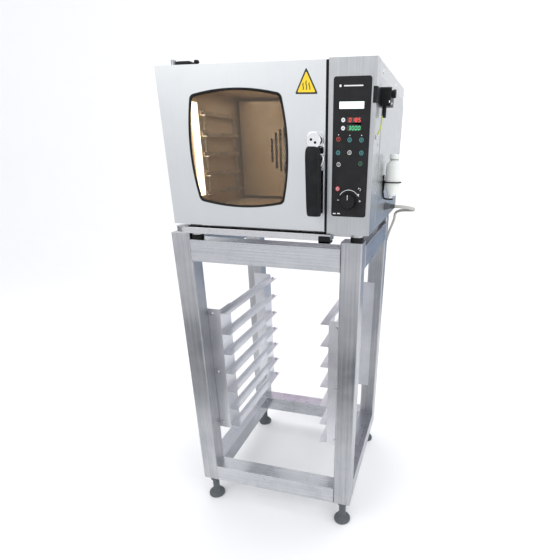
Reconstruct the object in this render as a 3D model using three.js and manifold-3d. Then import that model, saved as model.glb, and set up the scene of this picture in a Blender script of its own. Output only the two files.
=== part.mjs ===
// Compact combi steamer oven on an open stand with tray runners. Millimetres, +Z up.
// The front faces -Y. The origin is on the floor, under the middle of the whole object.
import * as THREE from 'three';
import { mergeVertices } from 'three/addons/utils/BufferGeometryUtils.js';
import Module from 'manifold-3d';

const wasm = await Module();
wasm.setup();

// ---- driving dimensions -------------------------------------------------------------
const gap = 0.3; // left between pieces that touch
const sheet = 1.5; // steel sheet of the casing

// stand
const standWidth = 570;
const standDepth = 580;
const legSize = 60;
const legTop = 1020;
const footHeight = 100; // underside of the legs above the floor
const tubeWall = 2;
const legCorner = 5;
const railHeight = 64;
const railDepth = 60;
const railDrop = 17; // top rails lie this far below the leg tops
const runnerCount = 7;
const runnerPitch = 74;
const runnerTop = 756; // height of the highest runner's ledge
const runnerLedge = 30;
const runnerLip = 12;
const runnerInset = 40; // from the inner face of a leg to the runner's wall
const gussetReach = 76; // how far an upright plate reaches beyond its leg
const gussetTop = 14; // plate above the highest runner's ledge
const gussetBottom = 6; // plate below the lowest runner's ledge
const footDisc = 30; // radius
const footStem = 13;
const footDiscHeight = 22;

// oven casing
const ovenWidth = 550;
const ovenDepth = 600;
const ovenHeight = 380;
const ovenOverhang = 34; // its front stands this far before the stand's front
const ovenShift = 30; // to the right of the stand's middle
const ovenClearance = 27; // underside above the leg tops
const ovenFootRadius = 16.5;
const ovenFootInset = 38; // from the sides
const ovenFootFront = 52; // from the front
const ovenFootBack = 24; // from the back
const frontDepth = 48; // door and control column, in front of the casing
const lidFlange = 33; // turned down over the sides
const ventCover = [44, 40, 14]; // cover on the lid: x, y, z
const ventAt = [24, 7]; // its corner: from the oven's left side, from the lid's front edge
const elbowRadius = 9;
const ventKnobRadius = 7;
const ventFoot = 12; // elbow and knob from the cover's front

// cavity
const cavityLeft = 32;
const cavityWidth = 362;
const cavityBottom = 38;
const cavityHeight = 304;
const cavityDepth = 410;
const linerWall = 2;
const trayLevels = 5;
const trayPitch = 52;
const trayLedge = 16;
const baffleSpace = 72; // between baffle and back wall
const fanRadius = 92;
const fanDepth = 46;
const fanBlades = 12;
const heaterRadius = 118;
const heaterRod = 5;
const motorRadius = 48;
const motorLength = 90;
const shaftRadius = 6;
const lampStrip = [7, 28, 238]; // x, y, z

// door
const doorWidth = 434;
const doorBottom = 6;
const doorThickness = 42;
const hingePlate = 2.5;
const hingePin = 4;
const hingeSide = 10; // pin axis from the door's left edge
const hingeBack = 12; // pin axis from the door's back
const pinClearance = 0.4;
const windowCentre = [207, 192];
const windowHalf = [120, 124]; // at the corners, outside of the gasket
const windowBulge = [13, 11];
const windowCorner = 15;
const gasketWidth = 8;
const gasketProud = 2.2;
const gasketOverlap = 3;
const glassThickness = 4;
const glassMargin = 9;
const innerWindow = [320, 276];
const sealWidth = 12;

// door handle
const handleAt = [413, 216];
const bossRadius = 18;
const handleStandoff = 20; // grip's back from the door
const gripWidth = 40;
const gripLength = 156;
const gripThickness = 20;
const gripTop = -14; // from the boss axis
const spindleRadius = 5;
const strikerRadius = 4;
const strikerHead = 6.5;

// control column
const columnGap = 6.5; // between door and column
const membraneLeft = 452;
const membraneWidth = 87;
const membraneBottom = 45;
const membraneHeight = 299;
const membraneThickness = 1;
const lcdWindow = { at: [495, 288], size: [58, 15] };
const ledWindows = [
  { at: [502, 258.5], size: [34, 12] },
  { at: [502, 242], size: [34, 12] },
];
const knobAt = [495.5, 82];
const knobRadius = 19;
const knobLength = 17;
const keyRadius = 6;
const keyTravel = 1;
const keys = { key_stop: [467, 110], key_back: [522, 110] };

// fittings on the right side, measured from the casing's front and underside
const switchAt = [6, 290];
const switchSize = [25, 62, 38]; // x out of the side, y, z
const switchKnob = 9;
const bottleAt = [170, 78]; // y of the axis, z of the base
const bottleRadius = 21;
const bottleHeight = 108;
const glandAt = [250, 40];
const glandRadius = 11;

// drip tray under the door
const trayEnd = [2, 452]; // along the oven's width
const trayProud = 10; // its lip stands before the door
const trayDepth = 43;
const trayHeight = 17;
const trayWall = 2;
const trayTip = [32, 15]; // the slanted left end: along the width, back from the lip

// power cord
const cordRadius = 5;
const coilMiddle = 55; // radius of the middle of the turns
const coilBand = 21; // the bundle's width and height
const plugLength = 62;
const plugSeat = 37.5; // plug's neck from the coil's middle

// ---- derived places -----------------------------------------------------------------
const legX = standWidth / 2;
const legY = standDepth / 2;
const ovenFront = -legY - ovenOverhang;
const ovenBack = ovenFront + ovenDepth;
const ovenLeft = ovenShift - ovenWidth / 2;
const ovenRight = ovenLeft + ovenWidth;
const ovenBase = legTop + ovenClearance;
const ovenTop = ovenBase + ovenHeight;
const casingFront = ovenFront + frontDepth;
const columnLeft = doorWidth + columnGap;
const bottleStandoff = 5; // bottle from the side panel
const holderWire = 4; // thickness of the ring round the bottle
const reach = gap + bottleStandoff + 2 * bottleRadius + holderWire; // widest piece on the right side
const coilX = 78;
const coilY = legY + 112;
const objectLeft = -legX;
const objectRight = ovenRight + reach;
const objectFront = ovenFront - gap - handleStandoff - gripThickness;
const objectBack = legY;
const centreX = (objectLeft + objectRight) / 2;
const centreY = (objectFront + objectBack) / 2;

// ---- geometry helpers ---------------------------------------------------------------
function solid(geometry) {
  const bare = geometry.clone();
  bare.deleteAttribute('normal');
  bare.deleteAttribute('uv');
  const merged = mergeVertices(bare, 1e-4);
  return new wasm.Manifold(new wasm.Mesh({
    numProp: 3,
    vertProperties: merged.attributes.position.array,
    triVerts: new Uint32Array(merged.index.array),
  }));
}

function geometryOf(manifold) {
  const mesh = manifold.getMesh();
  const geometry = new THREE.BufferGeometry();
  geometry.setAttribute('position', new THREE.BufferAttribute(mesh.vertProperties, 3));
  geometry.setIndex(new THREE.BufferAttribute(mesh.triVerts, 1));
  geometry.computeVertexNormals();
  return geometry;
}

function join(...geometries) {
  return geometryOf(geometries.map(solid).reduce((a, b) => a.add(b)));
}

function cut(base, ...tools) {
  return geometryOf(tools.map(solid).reduce((a, b) => a.subtract(b), solid(base)));
}

function block(x0, x1, y0, y1, z0, z1) {
  const geometry = new THREE.BoxGeometry(x1 - x0, y1 - y0, z1 - z0);
  return geometry.translate((x0 + x1) / 2, (y0 + y1) / 2, (z0 + z1) / 2);
}

// A shape drawn in two of the axes, made solid along the third.
const across = {
  x: [[0, 1, 0], [0, 0, 1], [1, 0, 0]], // drawn in y, z
  y: [[1, 0, 0], [0, 0, 1], [0, -1, 0]], // drawn in x, z
  z: [[1, 0, 0], [0, 1, 0], [0, 0, 1]], // drawn in x, y
};
function prism(axis, shape, from, to, curveSegments = 6) {
  const options = { depth: to - from, bevelEnabled: false, curveSegments };
  const geometry = new THREE.ExtrudeGeometry(shape, options);
  const basis = across[axis].map((v) => new THREE.Vector3(...v));
  geometry.applyMatrix4(new THREE.Matrix4().makeBasis(...basis));
  return geometry.translate(...{ x: [from, 0, 0], y: [0, to, 0], z: [0, 0, from] }[axis]);
}

function outline(points) {
  return new THREE.Shape(points.map(([a, b]) => new THREE.Vector2(a, b)));
}

function roundedBox(a0, a1, b0, b1, r) {
  const shape = new THREE.Shape();
  shape.moveTo(a0 + r, b0);
  shape.lineTo(a1 - r, b0);
  shape.absarc(a1 - r, b0 + r, r, -Math.PI / 2, 0);
  shape.absarc(a1 - r, b1 - r, r, 0, Math.PI / 2);
  shape.absarc(a0 + r, b1 - r, r, Math.PI / 2, Math.PI);
  shape.absarc(a0 + r, b0 + r, r, Math.PI, 1.5 * Math.PI);
  return shape;
}

function rod(axis, a, b, radius, from, to, segments = 24) {
  const shape = new THREE.Shape();
  for (let i = 0; i < segments; i += 1) {
    const t = (2 * Math.PI * (i + 0.5)) / segments;
    shape[i ? 'lineTo' : 'moveTo'](a + radius * Math.cos(t), b + radius * Math.sin(t));
  }
  return prism(axis, shape, from, to);
}

// The window: four bowed sides with rounded corners, in x and z from the oven's corner.
function barrel(inset) {
  const [cx, cz] = [ovenLeft + windowCentre[0], ovenBase + windowCentre[1]];
  const [w, h] = windowHalf.map((half) => half - inset);
  const [bx, bz] = windowBulge;
  const r = Math.max(windowCorner - inset / 2, 2);
  const rise = (bz * r) / w;
  const swell = (bx * r) / h;
  const shape = new THREE.Shape();
  shape.moveTo(cx - w + r, cz + h + rise);
  shape.quadraticCurveTo(cx, cz + h + 2 * bz, cx + w - r, cz + h + rise);
  shape.quadraticCurveTo(cx + w, cz + h, cx + w + swell, cz + h - r);
  shape.quadraticCurveTo(cx + w + 2 * bx, cz, cx + w + swell, cz - h + r);
  shape.quadraticCurveTo(cx + w, cz - h, cx + w - r, cz - h - rise);
  shape.quadraticCurveTo(cx, cz - h - 2 * bz, cx - w + r, cz - h - rise);
  shape.quadraticCurveTo(cx - w, cz - h, cx - w - swell, cz - h + r);
  shape.quadraticCurveTo(cx - w - 2 * bx, cz, cx - w - swell, cz + h - r);
  shape.quadraticCurveTo(cx - w, cz + h, cx - w + r, cz + h + rise);
  return shape;
}

const finishes = {
  steel: { color: 0xb9bec2, roughness: 0.35, metalness: 0.9 },
  brightSteel: { color: 0xd6dadc, roughness: 0.28, metalness: 0.9 },
  chrome: { color: 0xe6e8ea, roughness: 0.08, metalness: 1 },
  black: { color: 0x17181a, roughness: 0.5, metalness: 0 },
  rubber: { color: 0x101010, roughness: 0.8, metalness: 0 },
  charcoal: { color: 0x2c2c2e, roughness: 0.45, metalness: 0 },
  greyPlastic: { color: 0x5d6063, roughness: 0.6, metalness: 0 },
  glass: { color: 0x6b4a2c, roughness: 0.05, metalness: 0 },
  red: { color: 0xb3202a, roughness: 0.4, metalness: 0 },
  white: { color: 0xeef0ee, roughness: 0.4, metalness: 0 },
  board: { color: 0x1c5b34, roughness: 0.6, metalness: 0 },
  lamp: { color: 0xfff0c8, roughness: 0.3, metalness: 0 },
  cable: { color: 0xb9b7ae, roughness: 0.6, metalness: 0 },
};

const object = new THREE.Group();
object.position.set(-centreX, -centreY, 0);

function add(name, geometry, finish) {
  const mesh = new THREE.Mesh(geometry, new THREE.MeshStandardMaterial(finishes[finish]));
  mesh.name = name;
  object.add(mesh);
  return mesh;
}

// ---- stand --------------------------------------------------------------------------
const sides = { left: -1, right: 1 };
const ends = { front: -1, back: 1 };

function addLegs() {
  const wall = tubeWall;
  for (const [side, sx] of Object.entries(sides)) {
    for (const [end, sy] of Object.entries(ends)) {
      const [x, y] = [sx * (legX - legSize / 2), sy * (legY - legSize / 2)];
      const h = legSize / 2;
      const outer = roundedBox(x - h, x + h, y - h, y + h, legCorner);
      const inner = roundedBox(x - h + wall, x + h - wall, y - h + wall, y + h - wall, legCorner - wall);
      const tube = prism('z', outer, footHeight, legTop, 4);
      const bore = prism('z', inner, footHeight - 1, legTop - wall, 4);
      add(`leg_${end}_${side}`, cut(tube, bore), 'steel');
      addFoot(`foot_${end}_${side}`, x, y);
    }
  }
}

// Screw-in foot: a disc, a cone, a neck that turns in the leg's end plug.
function addFoot(name, x, y) {
  const plugRadius = legSize / 2 - tubeWall - gap;
  const profile = [
    [0, 0], [footDisc - 2, 0], [footDisc, 3], [footDisc, footDiscHeight * 0.5],
    [footDisc * 0.72, footDiscHeight], [footStem, footDiscHeight + 10], [footStem, footHeight - 24],
    [footStem + 6, footHeight - 20], [footStem + 6, footHeight - gap], [footStem - 3, footHeight - gap],
    [footStem - 3, footHeight + 2], [plugRadius, footHeight + 2], [plugRadius, footHeight + 26],
    [0, footHeight + 26],
  ].map(([r, z]) => new THREE.Vector2(r, z));
  const geometry = new THREE.LatheGeometry(profile, 20);
  geometry.rotateX(Math.PI / 2).translate(x, y, 0);
  add(name, geometryOf(solid(geometry)), 'greyPlastic');
}

function rectTube(axis, a0, a1, b0, b1, from, to) {
  const shape = outline([[a0, b0], [a1, b0], [a1, b1], [a0, b1]]);
  const w = tubeWall;
  shape.holes.push(outline([[a0 + w, b0 + w], [a0 + w, b1 - w], [a1 - w, b1 - w], [a1 - w, b0 + w]]));
  return prism(axis, shape, from, to);
}

function addRails() {
  const levels = {
    top: [legTop - railDrop - railHeight, legTop - railDrop],
    bottom: [footHeight, footHeight + railHeight],
  };
  const [ix, iy] = [legX - legSize - gap, legY - legSize - gap];
  for (const [level, [z0, z1]] of Object.entries(levels)) {
    for (const [end, sy] of Object.entries(ends)) {
      const y = sy * (legY - railDepth / 2);
      const rail = rectTube('x', y - railDepth / 2, y + railDepth / 2, z0, z1, -ix, ix);
      add(`rail_${level}_${end}`, rail, 'steel');
    }
    for (const [side, sx] of Object.entries(sides)) {
      const x = sx * (legX - railDepth / 2);
      const rail = rectTube('y', x - railDepth / 2, x + railDepth / 2, z0, z1, -iy, iy);
      add(`rail_${level}_${side}`, rail, 'steel');
    }
  }
}

// One welded rack on each side: two upright plates on the legs and seven angle runners.
function addTrayRacks() {
  const lowest = runnerTop - (runnerCount - 1) * runnerPitch;
  const wall = legX - legSize - runnerInset;
  const plateSheet = 2;
  for (const [side, sx] of Object.entries(sides)) {
    const pieces = [];
    const span = (a, b) => [Math.min(sx * a, sx * b), Math.max(sx * a, sx * b)];
    for (const sy of [-1, 1]) {
      const outerY = sy * (legY - legSize - gap);
      const innerY = outerY - sy * gussetReach;
      const [y0, y1] = [Math.min(outerY, innerY), Math.max(outerY, innerY)];
      const [x0, x1] = span(wall - plateSheet, legX - legSize / 2);
      const plateY = sy < 0 ? [y0, y0 + plateSheet] : [y1 - plateSheet, y1];
      const [z0, z1] = [lowest - gussetBottom, runnerTop + gussetTop];
      pieces.push(block(x0, x1, ...plateY, z0, z1));
      pieces.push(block(...span(wall - plateSheet, wall), y0, y1, z0, z1));
    }
    const [a, b] = [wall - plateSheet, wall - runnerLedge];
    for (let i = 0; i < runnerCount; i += 1) {
      const z = lowest + i * runnerPitch;
      const profile = outline([
        [a + 0.5, z + runnerLip], [a + 0.5, z - plateSheet], [b, z - plateSheet], [b, z],
        [a - plateSheet, z], [a - plateSheet, z + runnerLip],
      ].map(([u, v]) => [sx * u, v]));
      const reachY = legY - legSize - 4;
      pieces.push(prism('y', profile, -reachY, reachY));
    }
    add(`tray_rack_${side}`, join(...pieces), 'steel');
  }
}

// ---- oven casing --------------------------------------------------------------------
const ox = (x) => ovenLeft + x; // from the oven's left side
const oz = (z) => ovenBase + z; // from its underside
const plateBack = casingFront + 2;

function addCasing() {
  const [x0, x1] = [ovenLeft, ovenRight];
  const inner = sheet + gap;
  const lid = outline([
    [x0, ovenTop - lidFlange], [x0 + sheet, ovenTop - lidFlange], [x0 + sheet, ovenTop - sheet],
    [x1 - sheet, ovenTop - sheet], [x1 - sheet, ovenTop - lidFlange], [x1, ovenTop - lidFlange],
    [x1, ovenTop], [x0, ovenTop],
  ]);
  add('top_cover', prism('y', lid, casingFront, ovenBack), 'brightSteel');

  const panelTop = ovenTop - lidFlange - gap;
  for (const [side, sx] of Object.entries(sides)) {
    const outer = sx < 0 ? x0 : x1 - sheet;
    const folded = sx < 0 ? [x0 + sheet - 0.1, x0 + 14] : [x1 - 14, x1 - sheet + 0.1];
    const panel = join(
      block(outer, outer + sheet, casingFront, ovenBack, oz(0), panelTop),
      block(...folded, plateBack + gap, plateBack + gap + sheet, oz(8), panelTop - 4),
    );
    add(`side_panel_${side}`, panel, 'steel');
  }

  const [bx0, bx1] = [x0 + inner, x1 - inner];
  const back = block(bx0, bx1, ovenBack - sheet, ovenBack, oz(inner), ovenTop - inner);
  const slots = [];
  for (let i = 0; i < 8; i += 1) {
    const z = oz(70 + i * 12);
    slots.push(block(x1 - 190, x1 - 40, ovenBack - 5, ovenBack + 1, z, z + 5));
  }
  add('back_panel', cut(back, ...slots), 'steel');

  const floor = [block(bx0, bx1, plateBack + gap, ovenBack - inner, oz(0), oz(sheet))];
  for (const sx of [-1, 1]) {
    const x = ovenShift + sx * (ovenWidth / 2 - ovenFootInset);
    const drop = sx < 0 ? ovenClearance + railDrop : ovenClearance;
    for (const y of [ovenFront + ovenFootFront, ovenBack - ovenFootBack]) {
      floor.push(rod('z', x, y, ovenFootRadius, oz(0) - drop + gap, oz(0) - gap));
      floor.push(block(x - 11, x + 11, Math.max(y - 11, plateBack + gap), y + 12, oz(-2), oz(sheet)));
    }
  }
  add('base_pan', join(...floor), 'steel');
}

function addFrontFrame() {
  const inner = sheet + gap;
  const plate = block(ovenLeft + inner, ovenRight - inner, casingFront, plateBack, oz(inner), ovenTop - inner);
  const [c0, c1] = [ox(cavityLeft), ox(cavityLeft + cavityWidth)];
  const [z0, z1] = [oz(cavityBottom), oz(cavityBottom + cavityHeight)];
  const mouth = prism('y', roundedBox(c0, c1, z0, z1, 8), casingFront - 1, plateBack + 1);
  const [hx, hz] = [ox(handleAt[0]), oz(handleAt[1])];
  const pinZ = hz - 30;
  const pinFront = casingFront - 24;
  add('front_frame', join(
    cut(plate, mouth),
    rod('y', hx, pinZ, strikerRadius, pinFront, casingFront + 1, 16),
    rod('y', hx, pinZ, strikerHead, pinFront - 5, pinFront, 16),
  ), 'steel');

  const ring = roundedBox(c0 - sealWidth - 2, c1 + sealWidth + 2, z0 - sealWidth - 2, z1 + sealWidth + 2, 18);
  ring.holes.push(roundedBox(c0 - 2, c1 + 2, z0 - 2, z1 + 2, 9));
  const doorBack = ovenFront + doorThickness;
  add('door_seal', prism('y', ring, doorBack + gap, casingFront - gap), 'rubber');
}

// ---- cavity and what drives it --------------------------------------------------------
const cavityBack = plateBack + gap + cavityDepth;
const fanX = ox(cavityLeft + cavityWidth / 2);
const fanZ = oz(cavityBottom + cavityHeight / 2);

function addCavity() {
  const w = linerWall;
  const [x0, x1] = [ox(cavityLeft), ox(cavityLeft + cavityWidth)];
  const [z0, z1] = [oz(cavityBottom), oz(cavityBottom + cavityHeight)];
  const front = plateBack + gap;
  const liner = cut(
    block(x0 - w, x1 + w, front, cavityBack, z0 - w, z1 + w),
    block(x0, x1, front - 1, cavityBack - w, z0, z1),
    rod('y', fanX, fanZ, shaftRadius + 1, cavityBack - 10, cavityBack + 1, 16),
  );
  add('cavity_liner', liner, 'steel');

  const baffleFront = cavityBack - w - baffleSpace;
  const plate = block(x0 + 12, x1 - 12, baffleFront, baffleFront + 1.5, z0 + 10, z1 - 10);
  const openings = [];
  for (let i = -4; i <= 4; i += 1) {
    const half = Math.sqrt(70 * 70 - (i * 15) ** 2);
    openings.push(block(fanX + i * 15 - 4, fanX + i * 15 + 4, baffleFront - 2, baffleFront + 4,
      fanZ - half, fanZ + half));
  }
  const flanges = [x0 + 13, x1 - 13 - 1.5].map((x) => (
    block(x, x + 1.5, baffleFront + 0.7, cavityBack - w - gap, z0 + 12, z1 - 12)));
  add('fan_baffle', join(cut(plate, ...openings), ...flanges), 'steel');

  addFan(cavityBack - w - 16);

  const lampX = x0 + gap;
  const lampY = ovenFront + 95;
  add('lamp_strip', block(lampX, lampX + lampStrip[0], lampY, lampY + lampStrip[1],
    fanZ - lampStrip[2] / 2, fanZ + lampStrip[2] / 2), 'lamp');
  addCavityRacks(x0, x1, lampY + lampStrip[1] + 12, baffleFront - 8);
}

function addFan(back) {
  const front = back - fanDepth;
  const bladeLength = 22;
  const pieces = [
    rod('y', fanX, fanZ, fanRadius, back - 2, back, 36),
    rod('y', fanX, fanZ, 14, front + 6, back, 20),
    rod('y', fanX, fanZ, shaftRadius, back - 1, cavityBack + 8, 16),
  ];
  for (let i = 0; i < fanBlades; i += 1) {
    const blade = block(fanRadius - bladeLength, fanRadius - 1, front, back - 1, -1, 1);
    blade.rotateY((2 * Math.PI * i) / fanBlades).translate(fanX, 0, fanZ);
    pieces.push(blade);
  }
  add('fan_wheel', join(...pieces), 'brightSteel');

  const motorFront = cavityBack + gap;
  const casing = rod('y', fanX, fanZ, motorRadius, motorFront, motorFront + motorLength, 28);
  add('fan_motor', cut(casing, rod('y', fanX, fanZ, shaftRadius + 0.5, motorFront - 1, motorFront + 20, 16)),
    'black');

  const section = [];
  for (let i = 0; i <= 8; i += 1) {
    const t = (2 * Math.PI * i) / 8;
    section.push(new THREE.Vector2(heaterRadius + heaterRod * Math.cos(t), heaterRod * Math.sin(t)));
  }
  const ring = new THREE.LatheGeometry(section, 32);
  ring.translate(fanX, back - fanDepth / 2, fanZ);
  const stub = [-12, 12].map((dx) => (
    rod('y', fanX + dx, fanZ - heaterRadius, heaterRod - 1, back - fanDepth / 2, cavityBack - linerWall - gap, 10)));
  add('heater_ring', join(geometryOf(solid(ring)), ...stub), 'steel');
}

// Left and right carriers for the trays in the cavity: two uprights and angle ledges.
function addCavityRacks(x0, x1, front, back) {
  const lowest = oz(cavityBottom) + 34;
  for (const [side, sx] of Object.entries(sides)) {
    const wallX = sx < 0 ? x0 + gap : x1 - gap;
    const at = (a, b) => [Math.min(wallX - sx * a, wallX - sx * b), Math.max(wallX - sx * a, wallX - sx * b)];
    const top = lowest + (trayLevels - 1) * trayPitch + 18;
    const pieces = [front + 20, back - 30].map((y) => (
      block(...at(0, 6), y, y + 10, lowest - 16, top)));
    for (let i = 0; i < trayLevels; i += 1) {
      const z = lowest + i * trayPitch;
      pieces.push(block(...at(5.8, 5.8 + trayLedge), front, back, z - 1.5, z));
      pieces.push(block(...at(5.8, 7.3), front, back, z - 1.5, z + 9));
    }
    add(`cavity_rack_${side}`, join(...pieces), 'brightSteel');
  }
}

// ---- door -----------------------------------------------------------------------------
const hingeX = ovenLeft + hingeSide;
const hingeY = ovenFront + doorThickness - hingeBack;
const doorTop = ovenTop - hingePlate - 2 * gap;

function addDoor() {
  const [x0, x1] = [ovenLeft, ox(doorWidth)];
  const [z0, z1] = [oz(doorBottom), doorTop];
  const [y0, y1] = [ovenFront, ovenFront + doorThickness];
  const [hx, hz] = [ox(handleAt[0]), oz(handleAt[1])];
  const panelSheet = 1.5;
  const hole = hingePin + pinClearance;
  const pan = cut(
    block(x0, x1, y0, y1 - panelSheet - gap, z0, z1),
    block(x0 + sheet, x1 - sheet, y0 + sheet, y1 + 1, z0 + sheet, z1 - sheet),
    prism('y', barrel(gasketOverlap), y0 - 5, y0 + 5, 7),
    rod('y', hx, hz, spindleRadius + 0.5, y0 - 5, y0 + 5, 16),
    rod('z', hingeX, hingeY, hole, z0 - 5, z1 + 5, 16),
  );
  add('door_shell', pan, 'brightSteel');

  const [cx, cz] = [ox(windowCentre[0]), oz(windowCentre[1])];
  const [w, h] = innerWindow;
  const panel = cut(
    block(x0, x1, y1 - panelSheet, y1, z0, z1),
    prism('y', roundedBox(cx - w / 2, cx + w / 2, cz - h / 2, cz + h / 2, 10), y1 - 5, y1 + 5),
    rod('y', hx, hz - 30, strikerHead + 4, y1 - 5, y1 + 5, 20),
  );
  add('door_inner_panel', panel, 'steel');

  const glassFront = y0 + sheet + gap;
  add('outer_glass', prism('y', barrel(-glassMargin), glassFront, glassFront + glassThickness, 8), 'glass');
  const innerGlass = roundedBox(cx - w / 2 - 12, cx + w / 2 + 12, cz - h / 2 - 12, cz + h / 2 + 12, 12);
  const glassBack = y1 - panelSheet - gap;
  add('inner_glass', prism('y', innerGlass, glassBack - glassThickness, glassBack, 4), 'glass');

  const gasket = join(
    prism('y', barrel(0), y0 - gasketProud, y0 - gap, 7),
    prism('y', barrel(gasketOverlap + gap), y0 - gap - 0.2, glassFront - gap, 7),
  );
  add('window_gasket', cut(gasket, prism('y', barrel(gasketWidth), y0 - 9, y0 + 9, 7)), 'rubber');

  addHinge('hinge_upper', z1 + gap, z1 + gap + hingePlate, z1 - 14, z1 + 1);
  addHinge('hinge_lower', oz(doorBottom) - gap - hingePlate, oz(doorBottom) - gap,
    oz(doorBottom) - 1, oz(doorBottom) + 14);
}

// A plate fixed to the casing's front, with the pin that the door turns on.
function addHinge(name, z0, z1, pinFrom, pinTo) {
  const plate = block(ovenLeft + gap, ovenLeft + 40, hingeY - 10, casingFront - gap, z0, z1);
  add(name, join(plate, rod('z', hingeX, hingeY, hingePin, pinFrom, pinTo, 16)), 'chrome');
}

function addHandle() {
  const [hx, hz] = [ox(handleAt[0]), oz(handleAt[1])];
  const face = ovenFront - gap;
  const plate = prism('y', roundedBox(hx - 22, hx + 18, hz - 168, hz + 20, 6), face - 1.5, face);
  add('handle_plate', cut(plate, rod('y', hx, hz, spindleRadius + 0.5, face - 4, face + 2, 16)), 'chrome');

  const bossBack = face - 1.5 - gap;
  const bossFront = face - handleStandoff - gripThickness * 0.6;
  add('handle_boss', cut(
    join(rod('y', hx, hz, bossRadius, bossFront, bossBack - 4, 36), rod('y', hx, hz, 13, bossBack - 5, bossBack, 24)),
    rod('y', hx, hz, spindleRadius + gap, bossFront + 6, bossBack + 1, 16),
  ), 'chrome');

  // the grip hangs from the boss and is clear of the plate
  const back = face - handleStandoff;
  const top = hz + gripTop;
  const half = gripWidth / 2;
  const body = new THREE.Shape();
  body.moveTo(hx - half * 0.82, top - gripLength);
  body.lineTo(hx + half * 0.95, top - gripLength);
  body.quadraticCurveTo(hx + half, top - gripLength, hx + half, top - gripLength + 6);
  body.lineTo(hx + half * 0.9, top - 22);
  body.quadraticCurveTo(hx + half * 0.8, top, hx, top);
  body.quadraticCurveTo(hx - half * 0.85, top, hx - half, top - 28);
  body.lineTo(hx - half * 0.92, top - gripLength + 6);
  body.quadraticCurveTo(hx - half * 0.9, top - gripLength, hx - half * 0.82, top - gripLength);
  const collar = rod('y', hx, hz, bossRadius + 5, back - gripThickness * 0.5, back, 32);
  const neck = block(hx - 15, hx + 15, back - gripThickness * 0.5, back, top - 20, hz);
  add('handle_lever', cut(
    join(prism('y', body, back - gripThickness, back, 6), collar, neck),
    rod('y', hx, hz, bossRadius + gap, back - gripThickness - 1, back + 1, 36),
  ), 'black');

  // spindle through the door, with the cam that lies beside the striker
  const camBack = ovenFront + doorThickness - 8;
  add('latch_spindle', join(
    rod('y', hx, hz, spindleRadius, bossFront + 6 + gap, camBack, 16),
    block(hx - 7, hx + 7, camBack - 8, camBack, hz - 30 + strikerHead + 1.2, hz + 8),
  ), 'steel');
}

// ---- control column ---------------------------------------------------------------------
const boardFront = ovenFront + 16;

function openingsThrough(from, to, extra) {
  const windows = [lcdWindow, ...ledWindows].map(({ at: [x, z], size: [w, h] }) => (
    block(ox(x - w / 2) - extra, ox(x + w / 2) + extra, from, to, oz(z - h / 2) - extra, oz(z + h / 2) + extra)));
  const round = Object.values(keys).map(([x, z]) => (
    rod('y', ox(x), oz(z), keyRadius + 0.2 + extra, from, to, 20)));
  return [...windows, ...round, rod('y', ox(knobAt[0]), oz(knobAt[1]), 3.6 + extra, from, to, 16)];
}

function addColumn() {
  const [x0, x1] = [ox(columnLeft), ovenRight];
  const front = ovenFront;
  const shell = cut(
    block(x0, x1, front, casingFront - gap, oz(0), ovenTop),
    block(x0 + sheet, x1 - sheet, front + sheet, casingFront + 1, oz(sheet), ovenTop - sheet),
    ...openingsThrough(front - 2, front + 4, gap),
  );
  add('control_column', shell, 'steel');

  const overlay = prism('y', roundedBox(ox(membraneLeft), ox(membraneLeft + membraneWidth),
    oz(membraneBottom), oz(membraneBottom + membraneHeight), 6), front - gap - membraneThickness, front - gap);
  add('membrane_panel', cut(overlay, ...openingsThrough(front - 4, front + 1, gap)), 'charcoal');

  // one board behind the face: displays, encoder and key switches stand on it
  const pieces = [block(ox(membraneLeft - 4), ox(membraneLeft + membraneWidth + 4), boardFront, boardFront + 1.6,
    oz(membraneBottom + 4), oz(membraneBottom + membraneHeight - 30))];
  for (const { at: [x, z], size: [w, h] } of [lcdWindow, ...ledWindows]) {
    pieces.push(block(ox(x - w / 2), ox(x + w / 2), front - gap - membraneThickness * 0.5, boardFront + 1,
      oz(z - h / 2), oz(z + h / 2)));
  }
  const [kx, kz] = [ox(knobAt[0]), oz(knobAt[1])];
  pieces.push(block(kx - 7, kx + 7, front + sheet + 2, boardFront + 1, kz - 7, kz + 7));
  for (const [x, z] of Object.values(keys)) {
    pieces.push(block(ox(x) - 4, ox(x) + 4, boardFront - 4, boardFront + 1, oz(z) - 4, oz(z) + 4));
  }
  for (const x of [x0 + sheet + gap, x1 - sheet - gap - 6]) {
    pieces.push(block(x, x + 6, boardFront, boardFront + 1.6, oz(120), oz(200)));
  }
  pieces.push(block(x0 + sheet + gap, x1 - sheet - gap, boardFront, boardFront + 1.6, oz(150), oz(170)));
  add('display_board', join(...pieces), 'board');

  const keyFront = front - gap - membraneThickness - 1.2;
  for (const [name, [x, z]] of Object.entries(keys)) {
    add(name, rod('y', ox(x), oz(z), keyRadius, keyFront, boardFront - 4 - keyTravel - 0.1, 20),
      name === 'key_stop' ? 'red' : 'charcoal');
  }

  const knobBack = front - gap - membraneThickness - 0.6;
  add('control_knob', join(
    rod('y', kx, kz, knobRadius, knobBack - knobLength, knobBack, 40),
    block(kx - 3, kx + 3, knobBack - knobLength - 2.5, knobBack - knobLength + 1, kz - 15, kz + 15),
    rod('y', kx, kz, 3, knobBack - 1, front + sheet + 2 - gap, 16),
  ), 'black');
}

// ---- fittings ---------------------------------------------------------------------------
function addDripTray() {
  const [x0, x1] = trayEnd.map(ox);
  const [z0, z1] = [oz(-trayHeight), oz(-gap)];
  const [y0, y1] = [ovenFront - trayProud, ovenFront - trayProud + trayDepth];
  const [tipX, tipY] = [x0 + trayTip[0], y0 + trayTip[1]];
  const w = trayWall;
  const body = prism('z', outline([[x0, tipY], [tipX, y0], [x1, y0], [x1, y1], [x0, y1]]), z0, z1);
  const well = block(tipX + w, x1 - w, y0 + w, y1 - w, z0 + w, z1 + 1);
  add('drip_tray', cut(body, well), 'steel');
}

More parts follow.
